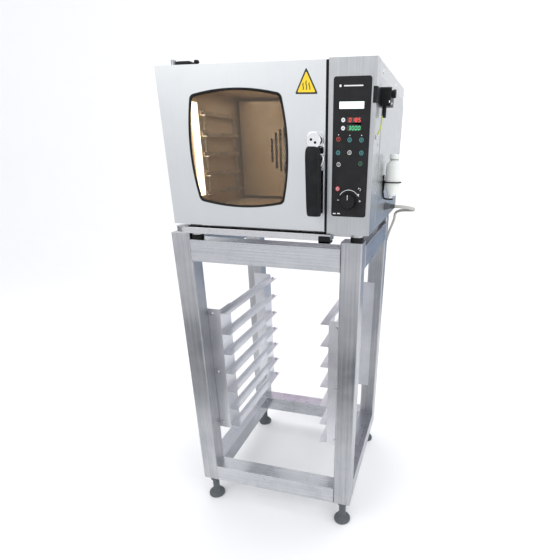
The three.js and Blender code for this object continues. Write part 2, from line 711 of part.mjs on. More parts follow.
function addVent() {
  const [w, d, h] = ventCover;
  const [x0, y0] = [ox(ventAt[0]), casingFront + ventAt[1]];
  const z = ovenTop + gap;
  add('steam_vent', join(
    block(x0, x0 + w, y0, y0 + d, z, z + h),
    rod('z', x0 - elbowRadius, y0 + ventFoot, elbowRadius, z, z + h + 4, 20),
    block(x0 - elbowRadius, x0 + 4, y0 + ventFoot - 7, y0 + ventFoot + 7, z, z + 8),
    rod('z', x0 + w + 12, y0 + ventFoot, ventKnobRadius, z, z + h + 2, 16),
    block(x0 + w - 4, x0 + w + 12, y0 + ventFoot - 4, y0 + ventFoot + 4, z, z + 3),
  ), 'black');
}

function addSideFittings() {
  const face = ovenRight + gap;
  const [w, d, h] = switchSize;
  const [y0, z0] = [casingFront + switchAt[0], oz(switchAt[1])];
  const housing = join(
    prism('x', roundedBox(y0, y0 + d, z0, z0 + h, 4), face, face + w, 3),
    block(face, face + 2, ovenFront - 3, y0 + 4, z0 + 2, z0 + h - 4),
    block(ovenRight - 7, face + 2, ovenFront - 3, ovenFront - gap - membraneThickness, z0 + 2, z0 + h - 4),
    rod('z', face + 10, y0 + 14, 5, z0 - 24, z0 + 1, 14),
  );
  const [ky, kz] = [y0 + 24, z0 + h - 12];
  add('isolator_housing', cut(housing, rod('x', ky, kz, 3.4, face + w - 8, face + w + 1, 14)), 'black');
  add('isolator_knob', join(
    rod('x', ky, kz, 9, face + w + gap, face + w + switchKnob, 20),
    rod('x', ky, kz, 3, face + w - 7, face + w + gap + 1, 14),
  ), 'black');

  const [by, bz] = [casingFront + bottleAt[0], oz(bottleAt[1])];
  const bx = face + bottleRadius + bottleStandoff;
  const r = bottleRadius;
  const profile = [[0, 0], [r * 0.45, 0], [r * 0.6, 4], [r, 26], [r, bottleHeight - 30], [r * 0.5, bottleHeight - 16],
    [r * 0.5, bottleHeight - 12], [r * 0.62, bottleHeight - 12], [r * 0.62, bottleHeight], [0, bottleHeight]];
  const bottle = new THREE.LatheGeometry(profile.map(([a, b]) => new THREE.Vector2(a, b)), 24);
  bottle.rotateX(Math.PI / 2).translate(bx, by, bz);
  add('descaler_bottle', geometryOf(solid(bottle)), 'white');

  // wire holder: a ring under the bottle's shoulder, an arm and a plate on the side
  const ring = new THREE.Shape();
  ring.absarc(bx, by, r + holderWire, 0, 2 * Math.PI);
  const ringHole = new THREE.Path();
  ringHole.absarc(bx, by, r + 0.6, 0, 2 * Math.PI);
  ring.holes.push(ringHole);
  add('bottle_holder', join(
    prism('z', ring, bz + 34, bz + 38, 14),
    block(face, face + 3, by - 9, by + 9, bz - 12, bz + 60),
    block(face + 1, face + 4, by - 6, by + 6, bz + 34, bz + 38),
    block(face + 1, bx + 6, by - 4, by + 4, bz - 8, bz - gap),
  ), 'black');
}

// The cord leaves a gland low on the right side, goes back and down behind the right back
// leg, and its spare length lies in a coil on the floor behind the stand.
function addCord() {
  const face = ovenRight + gap;
  const [gy, gz] = [casingFront + glandAt[0], oz(glandAt[1])];
  const tip = face + 30;
  add('cord_gland', join(
    rod('x', gy, gz, glandRadius, face, face + 12, 20),
    rod('x', gy, gz, glandRadius - 3, face + 11, tip, 20),
  ), 'greyPlastic');

  const route = [
    [tip + gap, gy, gz], [tip + 12, gy, gz], [tip + 33, gy + 5.6, gz - 2], [tip + 48.4, gy + 21, gz - 6],
    [tip + 54, gy + 42, gz - 10], [tip + 53, gy + 70, gz - 16], [tip + 42, gy + 110, gz - 22],
    [tip + 20, gy + 160, gz - 29], [tip - 2, gy + 212, gz - 38],
    [tip - 22, gy + 266, gz - 54], [tip - 30, gy + 306, gz - 84], [tip - 48, gy + 332, gz - 134],
    [tip - 64, gy + 338, gz - 200],
    [262, legY + 18, 820], [260, legY + 17, 640], [259, legY + 17, 460], [258, legY + 17, 280],
    [257, legY + 18, 130], [257, legY + 18, 52],
    [252.8, legY + 22, 28.6], [241.1, legY + 33.8, 12.2], [225.2, legY + 49.7, 6.3],
    [204, legY + 70.9, 5.6], [180, legY + 94.9, 5.4], [144.3, legY + 130.6, 5.3],
  ].map(([x, y, z]) => new THREE.Vector3(x, y, z));
  const path = new THREE.CatmullRomCurve3(route, false, 'centripetal');
  const section = new THREE.Shape();
  section.absarc(0, 0, cordRadius, 0, 2 * Math.PI);
  const tube = new THREE.ExtrudeGeometry(section, {
    steps: 72, curveSegments: 4, bevelEnabled: false, extrudePath: path,
  });
  add('power_cord', tube, 'cable');

  const half = coilBand / 2;
  const profile = [];
  for (let i = 0; i <= 10; i += 1) {
    const t = (2 * Math.PI * i) / 10;
    profile.push(new THREE.Vector2(coilMiddle + half * Math.cos(t), half + half * Math.sin(t)));
  }
  const coil = new THREE.LatheGeometry(profile, 32);
  coil.rotateX(Math.PI / 2).translate(coilX, coilY, 0);
  add('cord_coil', geometryOf(solid(coil)), 'cable');

  const plugX = coilX - plugSeat;
  const plugY = coilY + coilMiddle + cordRadius;
  const plugZ = 15;
  add('mains_plug', join(
    prism('x', roundedBox(plugY - 16, plugY + 16, plugZ - 13, plugZ + 13, 5), plugX - plugLength, plugX - 14, 3),
    rod('x', plugY, plugZ, 7, plugX - 16, plugX, 14),
    rod('x', plugY - 9, plugZ, 2.4, plugX - plugLength - 18, plugX - plugLength + 1, 10),
    rod('x', plugY + 9, plugZ, 2.4, plugX - plugLength - 18, plugX - plugLength + 1, 10),
  ), 'black');
}

addLegs();
addRails();
addTrayRacks();
addCasing();
addFrontFrame();
addCavity();
addDoor();
addHandle();
addColumn();
addDripTray();
addVent();
addSideFittings();
addCord();

export default object;
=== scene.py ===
import math
import random

import bmesh
import bpy
from mathutils import Matrix, Vector


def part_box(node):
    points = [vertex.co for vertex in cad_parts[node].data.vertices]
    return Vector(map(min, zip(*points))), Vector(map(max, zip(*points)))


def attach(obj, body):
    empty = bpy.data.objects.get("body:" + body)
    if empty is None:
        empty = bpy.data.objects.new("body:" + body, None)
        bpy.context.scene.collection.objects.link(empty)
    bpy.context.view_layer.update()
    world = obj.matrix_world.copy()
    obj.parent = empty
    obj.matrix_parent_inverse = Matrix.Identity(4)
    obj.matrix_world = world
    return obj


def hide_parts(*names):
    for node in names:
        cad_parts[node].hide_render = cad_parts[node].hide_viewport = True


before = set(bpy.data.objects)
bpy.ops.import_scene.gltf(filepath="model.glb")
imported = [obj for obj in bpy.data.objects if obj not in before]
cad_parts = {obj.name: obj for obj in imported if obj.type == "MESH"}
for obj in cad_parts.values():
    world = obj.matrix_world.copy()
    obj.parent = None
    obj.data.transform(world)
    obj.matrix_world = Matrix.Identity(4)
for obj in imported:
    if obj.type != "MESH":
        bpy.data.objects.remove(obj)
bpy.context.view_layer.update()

random.seed(7)
mm = 0.001
print("frame loaded:", len(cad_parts), "pieces")


# ---------- places that the other pieces are measured from
casing = "casing"
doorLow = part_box("door_shell")[0]
sideLow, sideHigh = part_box("side_panel_right")
lidLow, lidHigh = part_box("top_cover")
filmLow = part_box("membrane_panel")[0]
glandLow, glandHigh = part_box("cord_gland")
coilLow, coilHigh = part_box("cord_coil")
plugLow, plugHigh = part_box("mains_plug")
ovenLeft, ovenFront, ovenBase = lidLow.x, doorLow.y, sideLow.z


def onFront(x, z):
    # a place on the oven's front, in millimetres from its lower left corner
    return ovenLeft + x * mm, ovenBase + z * mm


# ---------- camera
cameraSettings = {
    "place": (0.4401, -1.4018, 1.2495),
    "turn": 14.805,  # degrees towards the right side
    "tilt": 25.940,  # degrees down
    "roll": 0.548,
    "lens": 27.897,
    "shift": (-0.0714, 0.1391),
}


def addCamera(look):
    turn, tilt, roll = (math.radians(look[k]) for k in ("turn", "tilt", "roll"))
    level = math.cos(tilt)
    forward = Vector((-math.sin(turn) * level, math.cos(turn) * level, -math.sin(tilt)))
    right = Vector((math.cos(turn), math.sin(turn), 0))
    up = right.cross(forward)
    rolledRight = right * math.cos(roll) + up * math.sin(roll)
    rolledUp = up * math.cos(roll) - right * math.sin(roll)
    data = bpy.data.cameras.new("camera")
    data.sensor_width = 36
    data.lens = look["lens"]
    data.shift_x, data.shift_y = look["shift"]
    data.clip_start = 0.02
    camera = bpy.data.objects.new("camera", data)
    camera.matrix_world = Matrix((rolledRight, rolledUp, -forward)).transposed().to_4x4()
    camera.location = look["place"]
    bpy.context.scene.collection.objects.link(camera)
    bpy.context.scene.camera = camera


addCamera(cameraSettings)
print("camera placed")


# ---------- shader toolbox
class Wire:
    # a socket that can be reckoned with: each operator adds one Math node
    def __init__(self, finish, socket):
        self.finish = finish
        self.socket = socket

    def reckon(self, operation, first, second=None):
        return self.finish.node("Math", {"operation": operation}, {0: first, 1: second})

    def __add__(self, other):
        return self.reckon("ADD", self, other)

    def __radd__(self, other):
        return self.reckon("ADD", other, self)

    def __sub__(self, other):
        return self.reckon("SUBTRACT", self, other)

    def __rsub__(self, other):
        return self.reckon("SUBTRACT", other, self)

    def __mul__(self, other):
        return self.reckon("MULTIPLY", self, other)

    def __rmul__(self, other):
        return self.reckon("MULTIPLY", other, self)


class Finish:
    # one material; node() makes every node of it
    def __init__(self, name):
        self.material = bpy.data.materials.new(name)
        self.material.use_nodes = True
        self.tree = self.material.node_tree
        self.tree.nodes.clear()

    def node(self, kind, settings=None, values=None, output=0):
        made = self.tree.nodes.new("ShaderNode" + kind)
        for key, value in (settings or {}).items():
            if key == "stops":
                self.setStops(made.color_ramp, value)
            else:
                setattr(made, key, value)
        for key, value in (values or {}).items():
            if isinstance(value, Wire):
                self.tree.links.new(value.socket, made.inputs[key])
            elif value is not None:
                made.inputs[key].default_value = value
        return Wire(self, made.outputs[output]) if made.outputs else None

    def setStops(self, ramp, stops):
        while len(ramp.elements) < len(stops):
            ramp.elements.new(1)
        for element, (place, colour) in zip(ramp.elements, stops):
            element.position = place
            element.color = colour

    def place(self):
        return self.node("TexCoord", output="Object")

    def scaled(self, vector, scale):
        return self.node("VectorMath", {"operation": "MULTIPLY"}, {0: vector, 1: scale})

    def noise(self, scale, detail=2, roughness=0.5, vector=None):
        spread = self.scaled(vector or self.place(), scale)
        values = {"Vector": spread, "Scale": 1, "Detail": detail, "Roughness": roughness}
        return self.node("TexNoise", {}, values)

    def mixed(self, factor, first, second):
        values = {0: factor, 6: first, 7: second}
        return self.node("Mix", {"data_type": "RGBA"}, values, output=2)

    def ramp(self, factor, low, high):
        # 0 below low, 1 above high
        stops = [(low, (0, 0, 0, 1)), (high, (1, 1, 1, 1))]
        return self.node("ValToRGB", {"stops": stops}, {"Fac": factor})

    def surface(self, values, bump=None, strength=0.3, distance=0.0002):
        if bump is not None:
            dents = {"Height": bump, "Strength": strength, "Distance": distance}
            values["Normal"] = self.node("Bump", {}, dents)
        shader = self.node("BsdfPrincipled", {}, values)
        self.node("OutputMaterial", {}, {"Surface": shader})
        return self.material


def tone(r, g, b):
    return (r, g, b, 1)


# ---------- finishes
steelLooks = {
    # light, dark, the way it is brushed, roughness, how strong its streaks are
    "doorSteel": (tone(.70, .72, .73), tone(.635, .655, .665), "z", .42, .5),
    "columnSteel": (tone(.60, .62, .63), tone(.42, .43, .44), "z", .34, .75),
    "lidSteel": (tone(.66, .67, .68), tone(.50, .51, .52), "y", .34, 1),
    "casingSteel": (tone(.58, .59, .60), tone(.41, .43, .44), "z", .33, .6),
    # the legs' darker bluish tone is painted shade with a painted bluish reflection; the streaks are brushed
    # grain
    "legSteel": (tone(.60, .60, .61), tone(.31, .33, .36), "z", .34, 1),
    "railSteelX": (tone(.68, .69, .71), tone(.40, .42, .45), "x", .28, 1),
    # the side rails' copy of the rail steel is darker and bluer than railSteelX: painted shade with a painted
    # bluish reflection
    "railSteelShadedY": (tone(.52, .54, .58), tone(.33, .34, .37), "y", .30, 1),
    "rackSteel": (tone(.82, .83, .86), tone(.58, .58, .61), "y", .34, .6),
    "brightSteel": (tone(.70, .70, .71), tone(.52, .52, .54), "x", .26, .35),
}


def brushedSteel(name, look):
    finish = Finish(name)
    place = finish.place()
    light, dark, way, rough, weight = look
    along = "xyz".index(way)
    fine = [2600.0] * 3
    fine[along] = 12.0
    broad = [330.0] * 3
    broad[along] = 3.0
    grain = finish.noise(fine, 2, .6, place)
    streak = finish.noise(broad, 3, .6, place)
    smudge = finish.noise((9, 9, 9), 4, .62, place)
    wiped = finish.ramp(finish.noise((23, 23, 31), 3, .55, place), .52, .74)
    shade = .5 + (grain - .5) * .30 * weight + (streak - .5) * .45 * weight + (smudge - .5) * .35
    colour = finish.mixed(finish.ramp(shade, .33, .67), dark, light)
    rough = rough + (streak - .5) * .16 + (smudge - .5) * .22 + wiped * .07
    values = {"Base Color": colour, "Metallic": 1.0, "Roughness": rough, "Specular IOR Level": .5}
    return finish.surface(values, grain * .6 + streak * .4, .22, .00012)


# rounded edges painted lighter than the faces: a painted highlight, broken by random darker wear nicks
def edgeHighlightAndWear(name, light):
    finish = Finish(name)
    nick = finish.ramp(finish.noise((240, 240, 240), 4, .7), .40, .66)
    colour = finish.mixed(nick, tone(light * .82, light * .82, light * .84), tone(light, light, light))
    return finish.surface({"Base Color": colour, "Metallic": 1.0, "Roughness": .34 - nick * .12}, nick, .2)


def heatTintedSteel(name):
    # oven steel that heat has turned straw and brown
    finish = Finish(name)
    place = finish.place()
    cloud = finish.noise((11, 11, 8), 4, .6, place)
    streak = finish.noise((60, 300, 9), 2, .5, place)
    tint = finish.mixed(finish.ramp(cloud, .35, .7), tone(.58, .46, .33), tone(.68, .60, .49))
    drops = finish.ramp(finish.noise((190, 190, 150), 2, .5, place), .64, .70)
    colour = finish.mixed(drops * .45, tint, tone(.30, .18, .09))
    rough = .46 + cloud * .16 + drops * .2
    return finish.surface({"Base Color": colour, "Metallic": .72, "Roughness": rough}, streak, .15)


def chrome(name):
    finish = Finish(name)
    mist = finish.noise((60, 60, 60), 4, .6)
    scratch = finish.noise((1500, 90, 1500), 2, .5)
    colour = finish.mixed(mist, tone(.80, .81, .82), tone(.93, .93, .94))
    values = {"Base Color": colour, "Metallic": 1.0, "Roughness": .06 + mist * .10}
    return finish.surface(values, scratch, .05)


def moulded(name, colour, rough=.45, coat=0.0, pebble=1400, wear=.10, gloss=.5):
    # moulded plastic or rubber: fine pebble, worn sheen, a little dust
    finish = Finish(name)
    place = finish.place()
    grain = finish.noise((pebble, pebble, pebble), 2, .5, place)
    rub = finish.noise((26, 26, 26), 4, .6, place)
    lighter = tuple(min(1, c * (1 + wear) + wear * .10) for c in colour[:3]) + (1,)
    shade = finish.mixed(finish.ramp(rub, .42, .75), colour, lighter)
    values = {"Base Color": shade, "Roughness": rough + (rub - .5) * .22}
    values.update({"Coat Weight": coat, "Specular IOR Level": gloss})
    return finish.surface(values, grain, .25, .00015)


def glassPane(name, tint, density):
    # thin tinted pane: mostly lets the view through, and mirrors at a slant
    finish = Finish(name)
    film = finish.noise((7, 7, 5), 4, .6)
    alpha = density + finish.ramp(film, .45, .8) * .06
    values = {"Base Color": tint, "Alpha": alpha, "Roughness": .04 + film * .05, "Coat Weight": .3}
    return finish.surface(values)


def glowing(name, colour, strength):
    finish = Finish(name)
    flicker = finish.noise((90, 90, 90), 2, .5)
    colourNow = finish.mixed(flicker * .3, colour, tone(*(c * .7 for c in colour[:3])))
    values = {"Base Color": colourNow, "Emission Color": colourNow, "Emission Strength": strength}
    values["Roughness"] = .35
    return finish.surface(values)


def enamelPrint(name, colour):
    finish = Finish(name)
    speck = finish.noise((700, 700, 700), 3, .6)
    shade = finish.mixed(finish.ramp(speck, .35, .65), tone(*(c * .86 for c in colour[:3])), colour)
    return finish.surface({"Base Color": shade, "Roughness": .42 + speck * .12}, speck, .1, .00005)


def filmFace(name):
    # satin printed film over the controls, with finger marks
    finish = Finish(name)
    place = finish.place()
    marks = finish.noise((34, 34, 34), 5, .65, place)
    emboss = finish.noise((1900, 1900, 1900), 1, .5, place)
    colour = finish.mixed(finish.ramp(marks, .45, .8), tone(.008, .008, .009), tone(.017, .017, .019))
    values = {"Base Color": colour, "Roughness": .50 + marks * .2, "Specular IOR Level": .30}
    return finish.surface(values, emboss, .2, .0001)


def circuitBoard(name):
    finish = Finish(name)
    trace = finish.ramp(finish.noise((260, 260, 30), 1, .5), .50, .54)
    colour = finish.mixed(trace, tone(.02, .16, .07), tone(.05, .30, .13))
    return finish.surface({"Base Color": colour, "Roughness": .38 - trace * .1})


steels = {name: brushedSteel(name, look) for name, look in steelLooks.items()}
# edge finishes: painted highlights on the rounded edges, with wear nicks
edgeHighlightBright = edgeHighlightAndWear("edgeHighlightBright", .80)
edgeHighlightStand = edgeHighlightAndWear("edgeHighlightStand", .62)
finishes = {
    "cavity": heatTintedSteel("cavitySteel"),
    "chrome": chrome("polishedChrome"),
    "black": moulded("blackMoulding", tone(.004, .005, .006), .46, 0, 1400, .10, .22),
    "rubber": moulded("blackRubber", tone(.006, .006, .006), .62, 0, 900, .12, .25),
    "grey": moulded("greyMoulding", tone(.085, .095, .105), .55, 0, 900),
    "white": moulded("whiteBottle", tone(.80, .82, .78), .34, .2, 500, .04),
    "jacket": moulded("cordJacket", tone(.50, .49, .45), .5, .05, 1100, .05),
    "glass": glassPane("tintedPane", tone(.085, .066, .048), .30),
    "innerGlass": glassPane("innerPane", tone(.16, .11, .07), .12),
    "lamp": glowing("lampDiffuser", tone(1, .84, .56), 7),
    "film": filmFace("controlFilm"),
    "board": circuitBoard("circuitBoard"),
    "redKey": moulded("redKey", tone(.50, .025, .035), .38, .2),
    "lcd": glowing("lcdPane", tone(.78, .84, .82), .55),
    "ledDark": moulded("ledPane", tone(.030, .012, .012), .16, .5, 300),
    "ledRed": glowing("ledRed", tone(1, .06, .04), 1.5),
    "ledGreen": glowing("ledGreen", tone(.05, .85, .34), 1.1),
    "printWhite": enamelPrint("printWhite", tone(.82, .83, .84)),
    "printTeal": enamelPrint("printTeal", tone(.10, .42, .42)),
    "printRed": enamelPrint("printRed", tone(.62, .08, .07)),
    "printGreen": enamelPrint("printGreen", tone(.07, .22, .12)),
    "signYellow": enamelPrint("signYellow", tone(.95, .66, .02)),
    "signBlack": enamelPrint("signBlack", tone(.02, .02, .02)),
    "earthWire": moulded("earthWire", tone(.45, .55, .05), .4, .1),
}
print("finishes made:", len(finishes) + len(steels))


# ---------- mesh toolbox
def basis(axis):
    # the two drawing directions and the third one
    return {
        "x": (Vector((0, 1, 0)), Vector((0, 0, 1)), Vector((1, 0, 0))),
        "y": (Vector((1, 0, 0)), Vector((0, 0, 1)), Vector((0, 1, 0))),
        "z": (Vector((1, 0, 0)), Vector((0, 1, 0)), Vector((0, 0, 1))),
    }[axis]


def roundedOutline(u0, u1, v0, v1, radius, steps=5):
    corners = ((u1 - radius, v0 + radius, -90), (u1 - radius, v1 - radius, 0),
               (u0 + radius, v1 - radius, 90), (u0 + radius, v0 + radius, 180))
    points = []
    for cu, cv, start in corners:
        for i in range(steps + 1):
            a = math.radians(start + 90 * i / steps)
            points.append((cu + radius * math.cos(a), cv + radius * math.sin(a)))
    return points


def ringOutline(u, v, radius, steps=32):
    turns = [2 * math.pi * i / steps for i in range(steps)]
    return [(u + radius * math.cos(a), v + radius * math.sin(a)) for a in turns]


def smoothPath(points, steps=8):
    # a curve that passes through the points with the same sweep as the solid's
    path = [Vector(p) for p in points]
    path = [2 * path[0] - path[1]] + path + [2 * path[-1] - path[-2]]
    out = []
    for i in range(1, len(path) - 2):
        p0, p1, p2, p3 = path[i - 1:i + 3]
        t1 = (p1 - p0).length ** .5
        t2 = t1 + (p2 - p1).length ** .5
        t3 = t2 + (p3 - p2).length ** .5
        for k in range(steps):
            t = t1 + (t2 - t1) * k / steps
            a1 = p0.lerp(p1, t / t1)
            a2 = p1.lerp(p2, (t - t1) / (t2 - t1))
            a3 = p2.lerp(p3, (t - t2) / (t3 - t2))
            b1 = a1.lerp(a2, t / t2)
            b2 = a2.lerp(a3, (t - t1) / (t3 - t1))
            out.append(b1.lerp(b2, (t - t1) / (t2 - t1)))
    return out + [path[-2]]


class Shape:
    # gathers closed bodies that become one piece
    def __init__(self):
        self.mesh = bmesh.new()

    def rings(self, rings, closed=False):
        # skins over rings of points and closes both ends
        rows = [[self.mesh.verts.new(p) for p in ring] for ring in rings]
        count = len(rows[0])
        pairs = list(zip(rows, rows[1:])) + ([(rows[-1], rows[0])] if closed else [])
        for low, high in pairs:
            for i in range(count):
                j = (i + 1) % count
                self.mesh.faces.new((low[i], low[j], high[j], high[i]))
        if not closed:
            self.mesh.faces.new(rows[0][::-1])
            self.mesh.faces.new(rows[-1])
        return self

    def prism(self, axis, outline, start, end):
        u, v, w = basis(axis)
        return self.rings([[u * a + v * b + w * s for a, b in outline] for s in (start, end)])

    def turned(self, axis, centre, profile, steps=40, ripple=None):
        # profile: (radius, height) pairs along the axis, none on the axis itself
        u, v, w = basis(axis)
        out = []
        for radius, height in profile:
            ring = []
            for i in range(steps):
                a = 2 * math.pi * i / steps
                r = radius * (ripple(a, height) if ripple else 1)
                ring.append(Vector(centre) + u * r * math.cos(a) + v * r * math.sin(a) + w * height)
            out.append(ring)
        return self.rings(out)

    def tube(self, path, radius, sides=12, closed=False):
        path = [Vector(p) for p in path]
        out = []
        side = None
        last = len(path) - 1
        for i, p in enumerate(path):
            before = path[i - 1] if i or closed else p
            after = path[(i + 1) % len(path)] if i < last or closed else p
            ahead = (after - before).normalized()
            side = side or ahead.orthogonal().normalized()
            side = (side - ahead * side.dot(ahead)).normalized()
            other = ahead.cross(side)
            angles = [2 * math.pi * k / sides for k in range(sides)]
            out.append([p + radius * (side * math.cos(a) + other * math.sin(a)) for a in angles])
        return self.rings(out, closed)

    def piece(self, name, material, body, slot, bevel=0, edge=None, subdivide=0, segments=3):
        bmesh.ops.recalc_face_normals(self.mesh, faces=self.mesh.faces)
        for face in self.mesh.faces:
            face.smooth = True
        data = bpy.data.meshes.new(name)
        self.mesh.to_mesh(data)
        self.mesh.free()
        made = bpy.data.objects.new(name, data)
        bpy.context.scene.collection.objects.link(made)
        data.materials.append(material)
        soften(made, bevel, edge, segments)
        if subdivide:
            made.modifiers.new("subdivision", "SUBSURF").render_levels = subdivide
            made.modifiers["subdivision"].levels = subdivide
        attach(made, body)
        return made


def soften(made, bevel, edge=None, segments=3):
    # rounds the edges; a rounded edge can have its own finish, a painted highlight with wear nicks
    if bevel:
        rounded = made.modifiers.new("edges", "BEVEL")
        rounded.width = bevel
        rounded.segments = segments
        rounded.limit_method = "ANGLE"
        rounded.angle_limit = math.radians(38)
        rounded.miter_outer = "MITER_ARC"
        if edge:
            made.data.materials.append(edge)
            rounded.material = 1
    made.modifiers.new("shading", "WEIGHTED_NORMAL").keep_sharp = False


# ---------- power cord
cordSettings = {
    "diameter": .010,
    "coilRadii": ((.060, .0053), (.050, .0053), (.050, .0154), (.060, .0154)),  # of each turn, and its height
    "crossing": 60,  # degrees in which a turn moves over to the next
    "steps": 30,
}
cordRoute = [
    (.3000, .0111, 1.0870), (.3117, .0111, 1.0870), (.3327, .0168, 1.0850), (.3481, .0321, 1.0810),
    (.3537, .0531, 1.0770), (.3527, .0811, 1.0710), (.3417, .1212, 1.0650), (.3197, .1711, 1.0580),
    (.2977, .2232, 1.0490), (.2777, .2771, 1.0330), (.2697, .3171, 1.0030), (.2516, .3431, .9530),
    (.2356, .3491, .8870), (.2263, .3451, .8200), (.2243, .3441, .6400), (.2233, .3441, .4600),
    (.2223, .3441, .2800), (.2213, .3451, .1300), (.2213, .3451, .0520), (.2172, .3491, .0286),
    (.2054, .3609, .0122), (.1895, .3768, .0063), (.1683, .3980, .0056), (.1444, .4220, .0054),
    (.1087, .4577, .0053),
]


def coilPath(settings):
    centre = Vector(((coilLow.x + coilHigh.x) / 2, (coilLow.y + coilHigh.y) / 2, 0))
    turns = settings["coilRadii"]
    points = []
    total = 4 * 360 + 45
    for step in range(1, int(total / 360 * settings["steps"]) + 1):
        angle = step * 360 / settings["steps"]
        index = min(int(angle // 360), 3)
        t = (angle - 360 * index - 360 + settings["crossing"]) / settings["crossing"]
        t = min(max(t, 0), 1) if index < 3 else 0
        t = t * t * (3 - 2 * t)
        now, then = turns[index], turns[min(index + 1, 3)]
        radius = now[0] + (then[0] - now[0]) * t
        height = now[1] + (then[1] - now[1]) * t
        a = math.radians(45 + angle)
        points.append(centre + Vector((radius * math.cos(a), radius * math.sin(a), height)))
    return points


def addCord(settings):
    path = smoothPath(cordRoute) + coilPath(settings)
    end = path[-1]
    plugEnd = Vector((plugHigh.x + .0003, end.y, end.z))
    path += [end.lerp(plugEnd, t / 3) for t in (1, 2, 3)]
    data = bpy.data.curves.new("power_lead", "CURVE")
    data.dimensions = "3D"
    data.bevel_depth = settings["diameter"] / 2
    data.bevel_resolution = 4
    data.use_fill_caps = True
    line = data.splines.new("POLY")
    line.points.add(len(path) - 1)
    for point, p in zip(line.points, path):
        point.co = (*p, 1)
    line.use_smooth = True
    lead = bpy.data.objects.new("power_lead", data)
    bpy.context.scene.collection.objects.link(lead)
    data.materials.append(finishes["jacket"])
    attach(lead, casing)
    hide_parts("power_cord", "cord_coil")
    length = sum((b - a).length for a, b in zip(path, path[1:]))
    print("cord length", round(length, 3))
    return lead, length, plugEnd


def addGland():
    y, z = (glandLow.y + glandHigh.y) / 2, (glandLow.z + glandHigh.z) / 2
    x = glandLow.x
    gland = Shape()
    gland.turned("x", (x, y, z), [(.0108, 0), (.0110, .001), (.0110, .003), (.0104, .004)], 40)
    nut = [(.0100, .0035), (.0104, .0045), (.0104, .010), (.0098, .0115), (.0080, .0125)]
    gland.turned("x", (x, y, z), nut, 6)
    sleeve = [(.0078, .012)]
    for i in range(5):
        start = .0125 + i * .0034
        wide = .0078 - i * .00028
        sleeve += [(wide, start), (wide, start + .0018)]
        sleeve += [(wide - .0012, start + .0021), (wide - .0012, start + .0030)]
    sleeve += [(.0062, .0295), (.0057, .0300)]
    gland.turned("x", (x, y, z), sleeve, 32)
    made = gland.piece("cord_sleeve", finishes["grey"], casing, "foot_plastic", .0003)
    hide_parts("cord_gland")
    return made


def addPlug(plugEnd):
    x, y, z = plugEnd
    end = plugLow.x + .018
    body = Shape()
    rings = []
    # share of the length, half width, half height
    sections = ((0, .0065, .0065), (.02, .0078, .0078), (.15, .0080, .0080), (.30, .0120, .0105),
                (.40, .0152, .0122), (.62, .0146, .0118), (.80, .0152, .0124), (.96, .0156, .0126),
                (1, .0146, .0116))
    for t, w, h in sections:
        px = x + (end - x) * t
        outline = roundedOutline(-w, w, -h, h, min(w, h) * .62, 5)
        rings.append([Vector((px, y + a, max(z + b, .0006))) for a, b in outline])
    body.rings(rings)
    for i in range(4):
        px = x + (end - x) * (.50 + i * .07)
        outline = roundedOutline(y - .0156, y + .0156, max(z - .0127, .0005), z + .0127, .0070, 5)
        body.prism("x", outline, px - .0007, px + .0007)
    plug = body.piece("plug_body", finishes["black"], casing, "black_plastic", .0004)
    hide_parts("mains_plug")
    pins = Shape()
    for side in (-1, 1):
        centre = (plugLow.x, y + side * .0095, z)
        pins.turned("x", centre, [(.0012, 0), (.0022, .0012), (.0024, .0022), (.0024, .0185)], 20)
    made = pins.piece("plug_pins", finishes["chrome"], casing, "chrome", 0)
    return plug, made


def addTie():
    # a strap round the coil's bundle
    centre = Vector(((coilLow.x + coilHigh.x) / 2, (coilLow.y + coilHigh.y) / 2, 0))
    out = Vector((math.cos(math.radians(250)), math.sin(math.radians(250)), 0))
    across = Vector((-out.y, out.x, 0))
    middle = centre + out * .055 + Vector((0, 0, .0104))
    rings = []
    outline = roundedOutline(-.0108, .0108, -.0102, .0108, .0052, 4)
    for a, b in outline:
        ring = []
        for reach, half in ((0, -.006), (.0011, -.006), (.0011, .006), (0, .006)):
            grow = 1 + reach / .0108
            ring.append(middle + out * a * grow + Vector((0, 0, max(b * grow, -.0103))) + across * half)
        rings.append(ring)
    strap = Shape()
    strap.rings(rings, closed=True)
    return strap.piece("coil_strap", finishes["black"], casing, "black_plastic", 0)


lead, cordLength, plugEnd = addCord(cordSettings)
gland = addGland()
plug, pins = addPlug(plugEnd)
strap = addTie()
print("cord laid")


# ---------- finishes of the carried-over solids
def dress(node, material, bevel=.0006, edge=None, segments=2):
    # a pierced sheet has no bevel: it stays as sharp as it was punched
    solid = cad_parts[node]
    solid.data.materials.clear()
    solid.data.materials.append(material)
    for face in solid.data.polygons:
        face.use_smooth = bevel > 0
        face.material_index = 0
    if not bevel:
        return
    weld = solid.modifiers.new("weld", "WELD")
    weld.merge_threshold = .00001
    flat = solid.modifiers.new("flat", "DECIMATE")
    flat.decimate_type = "DISSOLVE"
    flat.angle_limit = math.radians(.8)
    soften(solid, bevel, edge, segments)


